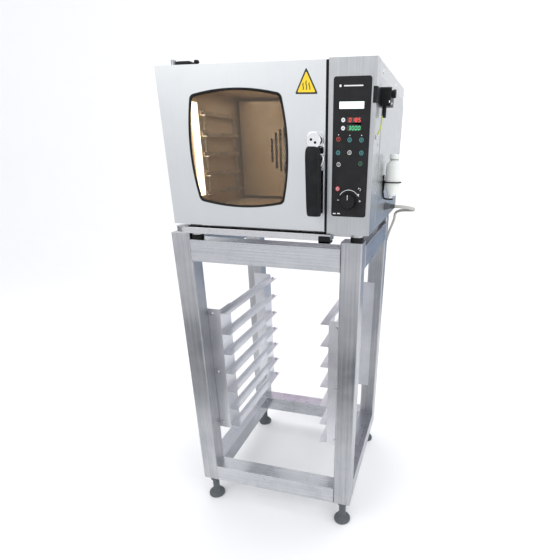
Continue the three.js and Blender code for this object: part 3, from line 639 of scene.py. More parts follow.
def dressCasing():
    for level in ("top", "bottom"):
        for end in ("front", "back"):
            dress(f"rail_{level}_{end}", steels["railSteelX"], .0009, edgeHighlightStand, 3)
        for side in ("left", "right"):
            dress(f"rail_{level}_{side}", steels["railSteelShadedY"], .0009, edgeHighlightStand, 3)
    for side in ("left", "right"):
        for end in ("front", "back"):
            dress(f"leg_{end}_{side}", steels["legSteel"], .0008, edgeHighlightStand)
        dress(f"tray_rack_{side}", steels["rackSteel"], .0006, edgeHighlightStand)
        dress(f"side_panel_{side}", steels["casingSteel"], .0006, edgeHighlightBright)
        dress(f"cavity_rack_{side}", steels["brightSteel"], .0004)
    dress("top_cover", steels["lidSteel"], .0012, edgeHighlightBright, 3)
    dress("back_panel", steels["casingSteel"], 0)
    dress("base_pan", steels["casingSteel"], .0006)
    dress("front_frame", steels["casingSteel"], .0004)
    dress("control_column", steels["columnSteel"], .0007, edgeHighlightBright, 3)
    dress("drip_tray", steels["brightSteel"], .0006, edgeHighlightBright)
    dress("cavity_liner", finishes["cavity"], .0004)
    dress("fan_baffle", finishes["cavity"], 0)
    dress("heater_ring", finishes["cavity"], .0001)
    dress("fan_wheel", steels["brightSteel"], .0003)
    dress("fan_motor", finishes["black"], .0015)
    dress("lamp_strip", finishes["lamp"], .0015)
    dress("door_seal", finishes["rubber"], .0010)
    dress("membrane_panel", finishes["film"], .0004)
    dress("display_board", finishes["board"], .0002)
    dress("isolator_housing", finishes["black"], .0006, None, 3)
    dress("isolator_knob", finishes["black"], .0004, None, 3)
    for end in ("upper", "lower"):
        dress(f"hinge_{end}", finishes["chrome"], .0004)


def dressDoor():
    dress("door_shell", steels["doorSteel"], .0016, edgeHighlightBright, 3)
    dress("door_inner_panel", steels["casingSteel"], .0004)
    dress("outer_glass", finishes["glass"], .0003)
    dress("inner_glass", finishes["innerGlass"], .0003)
    dress("handle_plate", finishes["chrome"], .0005)
    dress("latch_spindle", finishes["chrome"], .0005)
    dress("key_stop", finishes["redKey"], .0012, None, 3)
    dress("key_back", finishes["film"], .0012, None, 3)


dressCasing()
dressDoor()
print("solids dressed")


# ---------- stand details
footSettings = {"disc": .030, "neck": .0125, "collar": .0185, "ribs": 10}


def addStandFeet(look):
    for end in ("front", "back"):
        for side in ("left", "right"):
            node = f"foot_{end}_{side}"
            low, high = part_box(node)
            centre = ((low.x + high.x) / 2, (low.y + high.y) / 2, 0)
            disc, neck, collar = look["disc"], look["neck"], look["collar"]
            foot = Shape()
            foot.turned("z", centre, [
                (disc - .0040, 0), (disc - .0008, .0006), (disc, .0030), (disc, .0090), (disc - .0012, .0115),
                (disc * .80, .0150), (disc * .62, .0205), (neck + .0022, .0260), (neck, .0330), (neck, .0700),
                (neck + .0010, .0738), (collar - .0008, .0762), (collar, .0780), (collar, .0990),
                (collar, .0994),
            ], 48)
            for i in range(look["ribs"]):
                a = 2 * math.pi * i / look["ribs"]
                away = Vector((math.cos(a), math.sin(a), 0))
                across = Vector((-away.y, away.x, 0)) * .0011
                inner, outer = Vector(centre) + away * (neck - .001), Vector(centre) + away * (disc * .86)
                crest = [inner + Vector((0, 0, .010)), outer + Vector((0, 0, .010)),
                         outer + Vector((0, 0, .0145)), inner + Vector((0, 0, .0330))]
                foot.rings([[p - across for p in crest], [p + across for p in crest]])
            plugTop = [(collar - .003, .0992), (collar - .003, .1022), (.0275, .1024), (.0275, .1258)]
            foot.turned("z", centre, plugTop, 40)
            made = foot.piece(f"levelling_foot_{end}_{side}", finishes["grey"], node, "foot_plastic", .0006)
            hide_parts(node)


def addWelds():
    # thin beads where the rails meet the legs
    beads = Shape()
    for level in ("top", "bottom"):
        for end in ("front", "back", "left", "right"):
            low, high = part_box(f"rail_{level}_{end}")
            lengthwise = 0 if end in ("front", "back") else 1
            crosswise = 1 - lengthwise
            for place in (low[lengthwise], high[lengthwise]):
                path = []
                corners = [(low[crosswise], low.z), (high[crosswise], low.z),
                           (high[crosswise], high.z), (low[crosswise], high.z)]
                for (c0, z0), (c1, z1) in zip(corners, corners[1:] + corners[:1]):
                    for i in range(14):
                        t = i / 14
                        p = Vector((0, 0, z0 + (z1 - z0) * t))
                        p[lengthwise] = place + random.uniform(-.0002, .0002)
                        p[crosswise] = c0 + (c1 - c0) * t
                        path.append(p)
                beads.tube(path, .0011, 6, closed=True)
    beads.piece("weld_beads", steels["brightSteel"], casing, "stand_steel", 0)


def addRackDetails():
    stops = Shape()
    bolts = Shape()
    for side, sign in (("left", -1), ("right", 1)):
        low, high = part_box(f"tray_rack_{side}")
        ledgeInner = high.x if sign < 0 else low.x
        lowest = low.z + .006
        for i in range(7):
            z = lowest + i * .074
            centre = (ledgeInner + sign * .012, high.y - .016, z)
            stops.turned("z", centre, [(.0046, -.0001), (.0050, .0006), (.0050, .0052), (.0038, .0064)], 20)
        plateX = low.x + .012 if sign < 0 else high.x - .012
        for y, face in ((low.y, -1), (high.y, 1)):
            for z in (low.z + .022, high.z - .016, (low.z + high.z) / 2):
                centre = (plateX + sign * -.030, y + face * .0001, z)
                head = [(.0085, 0), (.0085, face * .0010), (.0062, face * .0012),
                        (.0060, face * .0044), (.0048, face * .0052)]
                bolts.turned("y", centre, head, 6)
    stops.piece("runner_stops", steels["brightSteel"], casing, "stand_steel", 0)
    bolts.piece("rack_bolts", steels["brightSteel"], casing, "stand_steel", .0002)


addStandFeet(footSettings)
addWelds()
addRackDetails()
print("stand detailed")


# ---------- casing details
def screwHead(shape, axis, centre, face, radius=.0042):
    # a domed head with a dimple in its middle; face is -1 or 1 along the axis
    profile = [(radius, 0), (radius, .0006), (radius * .86, .0016), (radius * .55, .0022),
               (radius * .34, .0022), (radius * .20, .0012)]
    shape.turned(axis, centre, [(r, face * h) for r, h in profile], 20)


casingSettings = {
    "lidScrews": (.040, .300, .560),  # from the casing's front
    "rivets": {"count": 6, "back": .016, "top": .208, "pitch": .022},
    "bootHeight": .014, "footAcross": .237, "footFront": .052, "footBack": .024,
    "footDrops": (.044, .027),  # left and right, the left feet stand lower
}


def addCasingScrews(look):
    screws = Shape()
    for y in look["lidScrews"]:
        for x, face in ((lidHigh.x, 1), (lidLow.x, -1)):
            screwHead(screws, "x", (x, lidLow.y + y, lidHigh.z - .018), face)
    for x in (-.20, -.07, .06, .19):
        for z in (.02, .355):
            screwHead(screws, "y", ((lidLow.x + lidHigh.x) / 2 + x * 1.25, lidHigh.y, ovenBase + z), 1)
    screws.piece("casing_screws", finishes["chrome"], casing, "chrome", 0)
    rivets = Shape()
    row = look["rivets"]
    for i in range(row["count"]):
        centre = (sideHigh.x, sideLow.y + row["back"], ovenBase + row["top"] - i * row["pitch"])
        rivets.turned("x", centre, [(.0030, 0), (.0030, .0005), (.0022, .0013), (.0008, .0016)], 16)
    rivets.piece("side_rivets", steels["casingSteel"], casing, "casing_steel", 0)


def addSideRibs():
    # pressed ribs and a louvred patch on each side panel
    for side, x, face in (("right", sideHigh.x, 1), ("left", lidLow.x, -1)):
        ribs = Shape()
        for y in (.052, .560):
            outline = [(sideLow.y + y - .002, ovenBase + .012), (sideLow.y + y + .002, ovenBase + .012),
                       (sideLow.y + y + .002, ovenBase + .330), (sideLow.y + y - .002, ovenBase + .330)]
            ribs.prism("x", outline, x - face * .0002, x + face * .0009)
        for i in range(9):
            z = ovenBase + .050 + i * .013
            y0, y1 = sideLow.y + .330, sideLow.y + .430
            rings = []
            for y, grow in ((y0, .1), (y0 + .004, 1), (y1 - .004, 1), (y1, .1)):
                inner, outer, foot = x - face * .0002, x + face * .0034 * grow, x + face * .0006 * grow
                rings.append([Vector((inner, y, z)), Vector((outer, y, z)),
                              Vector((foot, y, z + .0075)), Vector((inner, y, z + .0078))])
            ribs.rings(rings)
        ribs.piece(f"side_ribs_{side}", steels["casingSteel"], casing, "casing_steel", .0004)


def addOvenFeet(look):
    boots = Shape()
    nuts = Shape()
    for sx, drop in zip((-1, 1), look["footDrops"]):
        x = (lidLow.x + lidHigh.x) / 2 + sx * look["footAcross"]
        for y in (ovenFront + look["footFront"], lidHigh.y - look["footBack"]):
            z = ovenBase - drop + .0003
            tall = look["bootHeight"]
            boot = [(.0172, 0), (.0178, .0010), (.0178, tall - .004), (.0172, tall - .001), (.0166, tall)]
            boots.turned("z", (x, y, z), boot, 40)
            nut = [(.0178, 0), (.0180, .0006), (.0180, .0060), (.0178, .0066)]
            nuts.turned("z", (x, y, ovenBase - .0072), nut, 6)
    boots.piece("foot_boots", finishes["rubber"], casing, "black_rubber", 0)
    nuts.piece("foot_nuts", steels["brightSteel"], casing, "bright_steel", .0004)


gapSettings = {"left": 434.9, "right": 440.2, "bottom": 4, "top": 377}


def addGapSeal(look):
    # the ribbed black strip between the door and the control column
    x0, z0 = onFront(look["left"], look["bottom"])
    x1, z1 = onFront(look["right"], look["top"])
    y0, y1 = ovenFront + .0012, ovenFront + .044
    middle = (x0 + x1) / 2
    outline = [(x0, y1), (x0, y0 + .001), (x0 + .0012, y0), (middle - .0007, y0), (middle, y0 + .0012),
               (middle + .0007, y0), (x1 - .0012, y0), (x1, y0 + .001), (x1, y1)]
    strip = Shape()
    strip.prism("z", outline, z0, z1)
    strip.piece("gap_seal", finishes["rubber"], casing, "black_rubber", .0003)


ventSettings = {"cover": (.044, .060, .0138), "elbow": (-.009, .012), "knob": (.056, .012), "slits": 7}


def addVentFittings(look):
    low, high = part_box("steam_vent")
    x0, y0, z0 = high.x - .063, low.y, low.z  # the cover's near left corner
    wide, deep, tall = look["cover"]
    cover = Shape()
    cover.prism("z", roundedOutline(x0, x0 + wide, y0, y0 + deep, .004), z0, z0 + tall - .0016)
    for i in range(look["slits"]):
        y = y0 + .006 + i * .007
        slat = roundedOutline(x0 + .005, x0 + wide - .005, y, y + .0034, .0015, 3)
        cover.prism("z", slat, z0 + tall - .002, z0 + tall)
    made = cover.piece("vent_cover", finishes["black"], casing, "black_plastic", .0010)
    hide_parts("steam_vent")
    elbow = Shape()
    x, y = x0 + look["elbow"][0], y0 + look["elbow"][1]
    base = [(.0084, 0), (.0089, .0006), (.0089, .0034), (.0068, .0040), (.0066, .0120), (.0060, .0126)]
    elbow.turned("z", (x, y, z0), base, 32)
    elbow.turned("z", (x, y, z0 + .012), [(.0058, 0), (.0078, .0008), (.0080, .0046), (.0070, .0056)], 6)
    elbow.tube([Vector((x + t, y, z0 + .0075)) for t in (0, .005, .010, .0125)], .0042, 20)
    elbow.piece("vent_elbow", steels["legSteel"], casing, "bright_steel", .0002)
    knob = Shape()
    x, y = x0 + look["knob"][0], y0 + look["knob"][1]
    knob.turned("z", (x, y, z0), [
        (.0050, 0), (.0050, .004), (.0034, .005), (.0034, .008), (.0062, .009), (.0068, .0115),
        (.0058, .0150), (.0030, .0158)], 28)
    knob.piece("vent_knob", finishes["black"], casing, "black_plastic", 0)


addCasingScrews(casingSettings)
addSideRibs()
addOvenFeet(casingSettings)
addGapSeal(gapSettings)
addVentFittings(ventSettings)
print("casing detailed")


# ---------- window
windowSettings = {
    "centre": (207, 192), "half": (120, 124), "bulge": (13, 11), "corner": 15,
    # how far in from the gasket's outside, how far proud of the door
    "lip": ((0, .0003), (.2, .0014), (.8, .0021), (1.8, .0024), (3.2, .0022), (4.6, .0014),
            (5.2, .0004), (5.4, -.0014)),
    "steps": 14,
}


def barrel(inset, look):
    # four bowed sides with rounded corners, in millimetres on the oven's front
    cx, cz = look["centre"]
    w, h = (half - inset for half in look["half"])
    bx, bz = look["bulge"]
    r = max(look["corner"] - inset / 2, 2)
    rise, swell = bz * r / w, bx * r / h
    legs = [
        ((cx - w + r, cz + h + rise), (cx, cz + h + 2 * bz), (cx + w - r, cz + h + rise)),
        ((cx + w - r, cz + h + rise), (cx + w, cz + h), (cx + w + swell, cz + h - r)),
        ((cx + w + swell, cz + h - r), (cx + w + 2 * bx, cz), (cx + w + swell, cz - h + r)),
        ((cx + w + swell, cz - h + r), (cx + w, cz - h), (cx + w - r, cz - h - rise)),
        ((cx + w - r, cz - h - rise), (cx, cz - h - 2 * bz), (cx - w + r, cz - h - rise)),
        ((cx - w + r, cz - h - rise), (cx - w, cz - h), (cx - w - swell, cz - h + r)),
        ((cx - w - swell, cz - h + r), (cx - w - 2 * bx, cz), (cx - w - swell, cz + h - r)),
        ((cx - w - swell, cz + h - r), (cx - w, cz + h), (cx - w + r, cz + h + rise)),
    ]
    points = []
    for a, b, c in legs:
        for i in range(look["steps"]):
            t = i / look["steps"]
            u = (1 - t) ** 2 * a[0] + 2 * t * (1 - t) * b[0] + t * t * c[0]
            v = (1 - t) ** 2 * a[1] + 2 * t * (1 - t) * b[1] + t * t * c[1]
            points.append(onFront(u, v))
    return points


def addGasket(look):
    rings = []
    for inset, proud in look["lip"]:
        rings.append([Vector((x, ovenFront - proud, z)) for x, z in barrel(inset, look)])
    rings.append([Vector((x, ovenFront + .0012, z)) for x, z in barrel(5.2, look)])
    rings.append([Vector((x, ovenFront + .0012, z)) for x, z in barrel(3.6, look)])
    rings.append([Vector((x, ovenFront - .0002, z)) for x, z in barrel(3.4, look)])
    rings.append([Vector((x, ovenFront - .0002, z)) for x, z in barrel(.4, look)])
    lip = Shape()
    lip.rings(rings, closed=True)
    made = lip.piece("window_lip", finishes["rubber"], "door", "black_rubber", 0)
    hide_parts("window_gasket")


signSettings = {
    "apex": (387.5, 363.5), "base": ((360, 311.5), (415.5, 311.0)), "border": 3.6, "corner": 3.0,
    # three wavy bars: how far off the middle, how tall, how far up they start, how far they sway
    "bars": ((-8, 14), (0, 18), (8, 14)), "barFoot": -9, "sway": .9,
}


def triangleOutline(apex, left, right, radius):
    # corners rounded with a short arc between the sides
    corners = [Vector(apex), Vector(left), Vector(right)]
    middle = sum(corners, Vector((0, 0))) / 3
    points = []
    for i, corner in enumerate(corners):
        before = (corners[i - 1] - corner).normalized()
        after = (corners[(i + 1) % 3] - corner).normalized()
        start, end = corner + before * radius * 1.6, corner + after * radius * 1.6
        for k in range(6):
            t = k / 5
            points.append((1 - t) ** 2 * start + 2 * t * (1 - t) * corner + t * t * end)
    return points, middle


def addSign(look):
    # a plain triangular sign with three bars
    points, middle = triangleOutline(look["apex"], *look["base"], look["corner"])
    outer = [onFront(*p) for p in points]
    shrink = 1 - look["border"] / 17
    inner = [onFront(*(middle + (p - middle) * shrink)) for p in points]
    black = Shape()
    black.prism("y", outer, ovenFront - .00022, ovenFront - .00002)
    cx, cz = middle
    for dx, tall in look["bars"]:
        bar = []
        for k in range(9):
            t = k / 8
            x = cx + dx * (1 - .12 * t) + look["sway"] * math.sin(2 * math.pi * t)
            bar.append(onFront(x, cz + look["barFoot"] + t * tall))
        section = ((-.0011, -.00040), (.0011, -.00040), (.0011, -.00026), (-.0011, -.00026))
        black.rings([[Vector((x + a, ovenFront + b, z)) for a, b in section] for x, z in bar])
    black.piece("sign_black", finishes["signBlack"], "door", "black_plastic", 0)
    yellow = Shape()
    yellow.prism("y", inner, ovenFront - .00032, ovenFront - .00018)
    yellow.piece("sign_face", finishes["signYellow"], "door", "white_plastic", 0)


addGasket(windowSettings)
addSign(signSettings)
print("window made")


# ---------- door handle
handleSettings = {"at": (413, 216), "boss": .0182}


def addHandle(look):
    hx, hz = onFront(*look["at"])
    low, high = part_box("handle_lever")
    front, back = low.y, high.y
    grip = Shape()
    rings = []
    # height under the boss, centre shift, half width, share of the depth
    sections = ((-.0125, -.003, .0085, .40), (-.0140, -.003, .0125, .62), (-.0180, -.0022, .0160, .82),
                (-.0260, -.0014, .0186, .95), (-.040, -.0008, .0194, 1), (-.070, -.0006, .0190, .97),
                (-.100, -.0002, .0186, .94), (-.130, .0006, .0187, .96), (-.150, .0012, .0188, .98),
                (-.162, .0016, .0184, .95), (-.1685, .0018, .0168, .84), (-.1700, .0018, .0150, .70))
    for dz, dx, half, deep in sections:
        ring = []
        for i in range(28):
            a = 2 * math.pi * i / 28
            c, s = math.cos(a), math.sin(a)
            x = hx + dx + half * math.copysign(abs(c) ** .62, c)
            depth = (back - front) / 2 * deep
            y = (back + front) / 2 + depth * math.copysign(abs(s) ** .72, s)
            ring.append(Vector((x, y, hz + dz)))
        rings.append(ring)
    grip.rings(rings)
    made = grip.piece("handle_grip", finishes["black"], "handle", "black_plastic", 0, subdivide=1)
    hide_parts("handle_lever")
    neck = Shape()
    outline = roundedOutline(hx - .011, hx + .011, hz - .030, hz - .004, .004)
    neck.prism("y", outline, back - .010, back - .002)
    neck.piece("handle_neck", finishes["black"], "handle", "black_plastic", .001)


def addBoss(look):
    hx, hz = onFront(*look["at"])
    low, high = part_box("handle_boss")
    deep = high.y - low.y
    r = look["boss"] - .0002
    boss = Shape()
    boss.turned("y", (hx, low.y, hz), [
        (r * .30, .0010), (r * .62, .0006), (r * .80, .0004), (r * .90, 0), (r * .97, .0006), (r, .0020),
        (r, deep - .006), (r * .92, deep - .005), (r * .74, deep - .0042), (r * .74, deep)], 56)
    made = boss.piece("handle_hub", finishes["chrome"], "handle", "chrome", 0)
    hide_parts("handle_boss")
    screws = Shape()
    for x, z in ((407.6, 217.5), (417.6, 211.4)):
        px, pz = onFront(x, z)
        screwHead(screws, "y", (px, low.y + .0004, pz), -1, .0029)
    screws.piece("hub_screws", finishes["black"], "handle", "black_plastic", 0)
    hook = Shape()
    bends = [(424, 186), (430.5, 184), (432.5, 176), (430.5, 166), (424.5, 158), (423.6, 150)]
    path = []
    for i, bend in enumerate(bends):
        x, z = onFront(*bend)
        path.append(Vector((x, ovenFront - .0128 - i * .0006, z)))
    hook.tube(smoothPath(path, 5), .0021, 12)
    hook.piece("handle_hook", finishes["chrome"], "handle", "chrome", 0)


addHandle(handleSettings)
addBoss(handleSettings)
print("handle made")


# ---------- controls
controlSettings = {
    "lcd": ((495, 288), (58, 15)),
    "redDigits": ((503.5, 258.5), "0185"),
    "greenDigits": ((503.5, 242), "3000"),
    "digit": (4.4, 7.4),
    "pitch": 7.2,
    "knob": (495.5, 82),
    "knobRadius": .0188,
    "keys": ((467, 110), (522, 110)),
}
segmentsOf = {
    "0": "abcdef", "1": "bc", "2": "abged", "3": "abgcd", "4": "fgbc",
    "5": "afgcd", "6": "afgedc", "7": "abc", "8": "abcdefg", "9": "abcdfg",
}
filmFace0 = filmLow.y  # front of the printed film


def onFilm(shape, outline, proud=.00014, sink=.00006):
    # a flat mark printed on the film
    shape.prism("y", [onFront(x, z) for x, z in outline], filmFace0 - proud, filmFace0 + sink)


def stroke(shape, points, width, proud=.00014):
    # a line of constant width through the points, as short flat bars
    for (x0, z0), (x1, z1) in zip(points, points[1:]):
        length = math.hypot(x1 - x0, z1 - z0) or 1
        nx, nz = -(z1 - z0) / length * width / 2, (x1 - x0) / length * width / 2
        onFilm(shape, [(x0 + nx, z0 + nz), (x0 - nx, z0 - nz), (x1 - nx, z1 - nz), (x1 + nx, z1 + nz)], proud)


def arc(cx, cz, radius, start, end, steps=10):
    angles = [math.radians(start + (end - start) * i / steps) for i in range(steps + 1)]
    return [(cx + radius * math.cos(a), cz + radius * math.sin(a)) for a in angles]


def addDigits(name, centre, text, look, material):
    shape = Shape()
    w, h = look["digit"]
    bar = .85
    # each bar's ends, from the digit's middle
    bars = {
        "a": ((-w / 2, h / 2), (w / 2, h / 2)), "b": ((w / 2, h / 2), (w / 2, 0)),
        "c": ((w / 2, 0), (w / 2, -h / 2)), "d": ((-w / 2, -h / 2), (w / 2, -h / 2)),
        "e": ((-w / 2, 0), (-w / 2, -h / 2)), "f": ((-w / 2, h / 2), (-w / 2, 0)),
        "g": ((-w / 2, 0), (w / 2, 0)),
    }
    for i, sign in enumerate(text):
        cx = centre[0] + (i - (len(text) - 1) / 2) * look["pitch"]
        for letter in segmentsOf[sign]:
            (x0, z0), (x1, z1) = bars[letter]
            dx, dz = (.7, 0) if z0 == z1 else (0, math.copysign(.7, z1 - z0))
            ends = [(cx + x0 + dx + z0 * .10, centre[1] + z0 + dz),
                    (cx + x1 - dx + z1 * .10, centre[1] + z1 - dz)]
            stroke(shape, ends, bar, .00052)
    shape.piece(name, material, casing, "display", 0)


def addDisplays(look):
    (cx, cz), (w, h) = look["lcd"]
    frameShape = Shape()
    outline = roundedOutline(cx - w / 2 + .4, cx + w / 2 - .4, cz - h / 2 + .4, cz + h / 2 - .4, .9, 3)
    points = [onFront(x, z) for x, z in outline]
    frameShape.prism("y", points, filmFace0 + .0001, filmFace0 + .0006)
    frameShape.piece("lcd_pane", finishes["lcd"], casing, "display", 0)
    panes = Shape()
    for z in (258.5, 242):
        outline = roundedOutline(485.4, 518.6, z - 5.6, z + 5.6, .8, 3)
        panes.prism("y", [onFront(x, v) for x, v in outline], filmFace0 - .00040, filmFace0 + .0006)
    panes.piece("led_panes", finishes["ledDark"], casing, "display", 0)
    addDigits("digits_red", look["redDigits"][0], look["redDigits"][1], look, finishes["ledRed"])
    addDigits("digits_green", look["greenDigits"][0], look["greenDigits"][1], look, finishes["ledGreen"])


def addPrint(look):
    white, teal, red, green = Shape(), Shape(), Shape(), Shape()
    # a plain bar and dot in the maker's place
    onFilm(white, roundedOutline(476, 520, 324.5, 327.0, 1.1, 3))
    onFilm(white, ringOutline(468, 325.8, 2.6, 20))
    for z in (258.5, 241.8):
        onFilm(white, ringOutline(476.5, z, 4.6, 24))
        stroke(green, [(474.6, z), (478.4, z)], 1.1, .00024)
        stroke(green, [(476.5, z - 1.9), (476.5, z + 1.9)], 1.1, .00024)
    for (x, z), shape in (((466, 219), red), ((493, 217.6), teal), ((521, 217.5), teal),
                          ((466, 190), teal), ((493.6, 190.7), white), ((522, 190.3), teal),
                          ((468, 164.6), white), ((520.7, 167.3), green)):
        ring = arc(x, z, 4.4, 0, 360, 20)
        stroke(shape, ring, 1.0)
        stroke(shape, [(x - 2.2, z - 1.4), (x + 2.2, z - 1.4)], .9)
        stroke(shape, [(x - 2.2, z + 1.4), (x + 2.2, z + 1.4)], .9)
    for x, z in ((466, 228), (493, 227), (521, 227)):
        onFilm(white, ringOutline(x, z, 1.1, 12))
    kx, kz = look["knob"]
    stroke(white, arc(kx, kz, 26, 148, 32, 16), 1.3)
    onFilm(white, [(kx + 24.8, kz + 11.0), (kx + 19.4, kz + 16.4), (kx + 25.6, kz + 17.8)])
    stroke(white, [(466.5, 84), (471.5, 84)], 1.2)
    stroke(white, [(520.6, 83), (525.6, 83)], 1.2)
    stroke(white, [(523.1, 80.5), (523.1, 85.5)], 1.2)
    for x, z in ((460, 51.6), (471, 52)):
        onFilm(white, roundedOutline(x - 3.6, x + 3.6, z - 1.3, z + 1.3, .5, 2))
    white.piece("print_white", finishes["printWhite"], casing, "white_plastic", 0)
    teal.piece("print_teal", finishes["printTeal"], casing, "white_plastic", 0)
    red.piece("print_red", finishes["printRed"], casing, "red_key", 0)
    green.piece("print_green", finishes["printGreen"], casing, "white_plastic", 0)


def addKeyMarks(look):
    marks = (("stop_mark", "stop_key", "key_stop"), ("back_mark", "back_key", "key_back"))
    for (name, body, key), (x, z) in zip(marks, look["keys"]):
        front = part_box(key)[0].y
        mark = Shape()
        if body == "stop_key":
            path = arc(x, z, 3.1, 120, 420, 14)
            bars = list(zip(path, path[1:])) + [((x, z + .6), (x, z + 4.2))]
        else:
            path = arc(x + .4, z - .4, 2.6, 250, 450, 10)
            tip = (x - 3.4, z + 2.2)
            arrow = [((x + .4, z + 2.2), tip), (tip, (x - 1.6, z + 4.0)), (tip, (x - 1.6, z + .4))]
            bars = list(zip(path, path[1:])) + arrow
        for (x0, z0), (x1, z1) in bars:
            length = math.hypot(x1 - x0, z1 - z0)
            nx, nz = -(z1 - z0) / length * .45, (x1 - x0) / length * .45
            corners = [(x0 + nx, z0 + nz), (x0 - nx, z0 - nz), (x1 - nx, z1 - nz), (x1 + nx, z1 + nz)]
            mark.prism("y", [onFront(*c) for c in corners], front - .00012, front + .0001)
        mark.piece(name, finishes["printWhite"], body, "white_plastic", 0)


def addKnob(look):
    low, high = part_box("control_knob")
    x, z = onFront(*look["knob"])
    r = look["knobRadius"]
    front = low.y + .0025
    back = filmFace0 - .0006

    def fluted(a, height):
        return 1 - .030 * (1 - abs(math.cos(9 * a))) if height < back - front - .004 else 1

    knob = Shape()
    deep = back - front
    profile = [
        (r * .50, 0), (r * .80, .0002), (r * .88, .0012), (r * .91, .0030), (r * .935, deep * .45),
        (r * .95, deep - .0050), (r * .97, deep - .0036), (r, deep - .0026), (r, deep - .0008),
        (r * .98, deep)]
    knob.turned("y", (x, front, z), profile, 108, fluted)
    knob.turned("y", (x, back, z), [(.003, -.001), (.003, high.y - back)], 16)
    made = knob.piece("knob_cap", finishes["black"], "knob", "black_plastic", 0)
    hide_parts("control_knob")
    line = Shape()
    left, right, foot, tip = x - .0007, x + .0007, z + .0045, z + r * .84
    outline = [(left, foot), (right, foot), (right, tip), (left, tip)]
    line.prism("y", outline, front - .0002, front + .0012)
    line.piece("knob_line", finishes["printWhite"], "knob", "white_plastic", 0)


addDisplays(controlSettings)
addPrint(controlSettings)
addKeyMarks(controlSettings)
addKnob(controlSettings)
print("controls made")


# ---------- fittings on the right side
def addIsolatorDetails():
    low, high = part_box("isolator_housing")
    screws = Shape()
    for dy, dz in ((.008, .030), (.054, .058), (.054, .030)):
        screwHead(screws, "x", (high.x, low.y + .042 + dy - .02, low.z + dz), 1, .0026)
    screws.piece("isolator_screws", finishes["chrome"], casing, "chrome", 0)
    wire = Shape()
    y, z = low.y + .038, low.z
    start = Vector((sideHigh.x + .0103, y, z + .002))
    path = [start, start + Vector((0, 0, -.010)), start + Vector((-.001, -.004, -.022)),
            start + Vector((-.004, -.010, -.034)), start + Vector((-.0085, -.013, -.044))]
    wire.tube(smoothPath(path, 5), .0016, 10)
    wire.piece("earth_wire", finishes["earthWire"], casing, "red_key", 0)
    nut = Shape()
    profile = [(.0052, 0), (.0054, .0005), (.0054, .0028), (.0050, .0034)]
    nut.turned("x", (sideHigh.x, path[-1].y, path[-1].z), profile, 6)
    nut.piece("earth_nut", steels["brightSteel"], casing, "bright_steel", 0)


def addBottle():
    low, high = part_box("descaler_bottle")
    x, y = (low.x + high.x) / 2, (low.y + high.y) / 2
    r = (high.x - low.x) / 2 - .0002
    tall = high.z - low.z
    bottle = Shape()
    bottle.turned("z", (x, y, low.z), [
        (r * .30, .0004), (r * .44, 0), (r * .52, .0012), (r * .62, .005), (r * .98, .0255),
        (r, .0290), (r, .050), (r * .985, .052), (r, .054),
        (r, tall - .034), (r * .96, tall - .029), (r * .80, tall - .022),
        (r * .52, tall - .0165), (r * .50, tall - .0125)], 48)
    made = bottle.piece("dosing_bottle", finishes["white"], "bottle", "white_plastic", 0)
    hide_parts("descaler_bottle")
    cap = Shape()
    profile = [(r * .60, -.0122), (r * .61, -.0118), (r * .61, -.0020), (r * .57, -.0006), (r * .50, 0)]
    cap.turned("z", (x, y, high.z), profile, 72, lambda a, h: 1 + .025 * math.cos(24 * a))
    cap.piece("bottle_cap", finishes["white"], "bottle", "white_plastic", 0)


def addBottleHolder():
    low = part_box("bottle_holder")[0]
    bLow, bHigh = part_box("descaler_bottle")
    x, y = (bLow.x + bHigh.x) / 2, (bLow.y + bHigh.y) / 2
    r = (bHigh.x - bLow.x) / 2 + .0024
    holder = Shape()
    wire = .0017
    ringHeight = bLow.z + .036
    angles = [2 * math.pi * i / 40 for i in range(40)]
    ring = [Vector((x + r * math.cos(a), y + r * math.sin(a), ringHeight)) for a in angles]
    holder.tube(ring, wire, 10, closed=True)
    face = low.x
    for side in (-1, 1):
        across = y + side * .006
        path = [(face + .0022, across, low.z + .052), (face + .0022, across, low.z + .010),
                (face + .0040, across, low.z + .0050), (face + .012, across, low.z + .0026),
                (x + .004, y + side * .004, low.z + .0024)]
        holder.tube(smoothPath(path, 5), wire, 10)
        reach = r * math.cos(math.asin(min(.0090 / r, 1)))
        start = Vector((face + .002, y + side * .009, ringHeight))
        end = Vector((x - reach, y + side * .009, ringHeight))
        holder.tube([start, end], wire, 10)
    plate = roundedOutline(y - .011, y + .011, low.z + .014, low.z + .066, .003)
    holder.prism("x", plate, face, face + .0018)
    made = holder.piece("wire_holder", finishes["black"], casing, "black_plastic", 0)
    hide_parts("bottle_holder")
    screws = Shape()
    for z in (.022, .060):
        screwHead(screws, "x", (face + .0018, y, low.z + z), 1, .003)
    screws.piece("holder_screws", finishes["chrome"], casing, "chrome", 0)


traySettings = {"capFrom": 421, "proud": .0008, "capDrop": .0060, "matDepth": .0034}


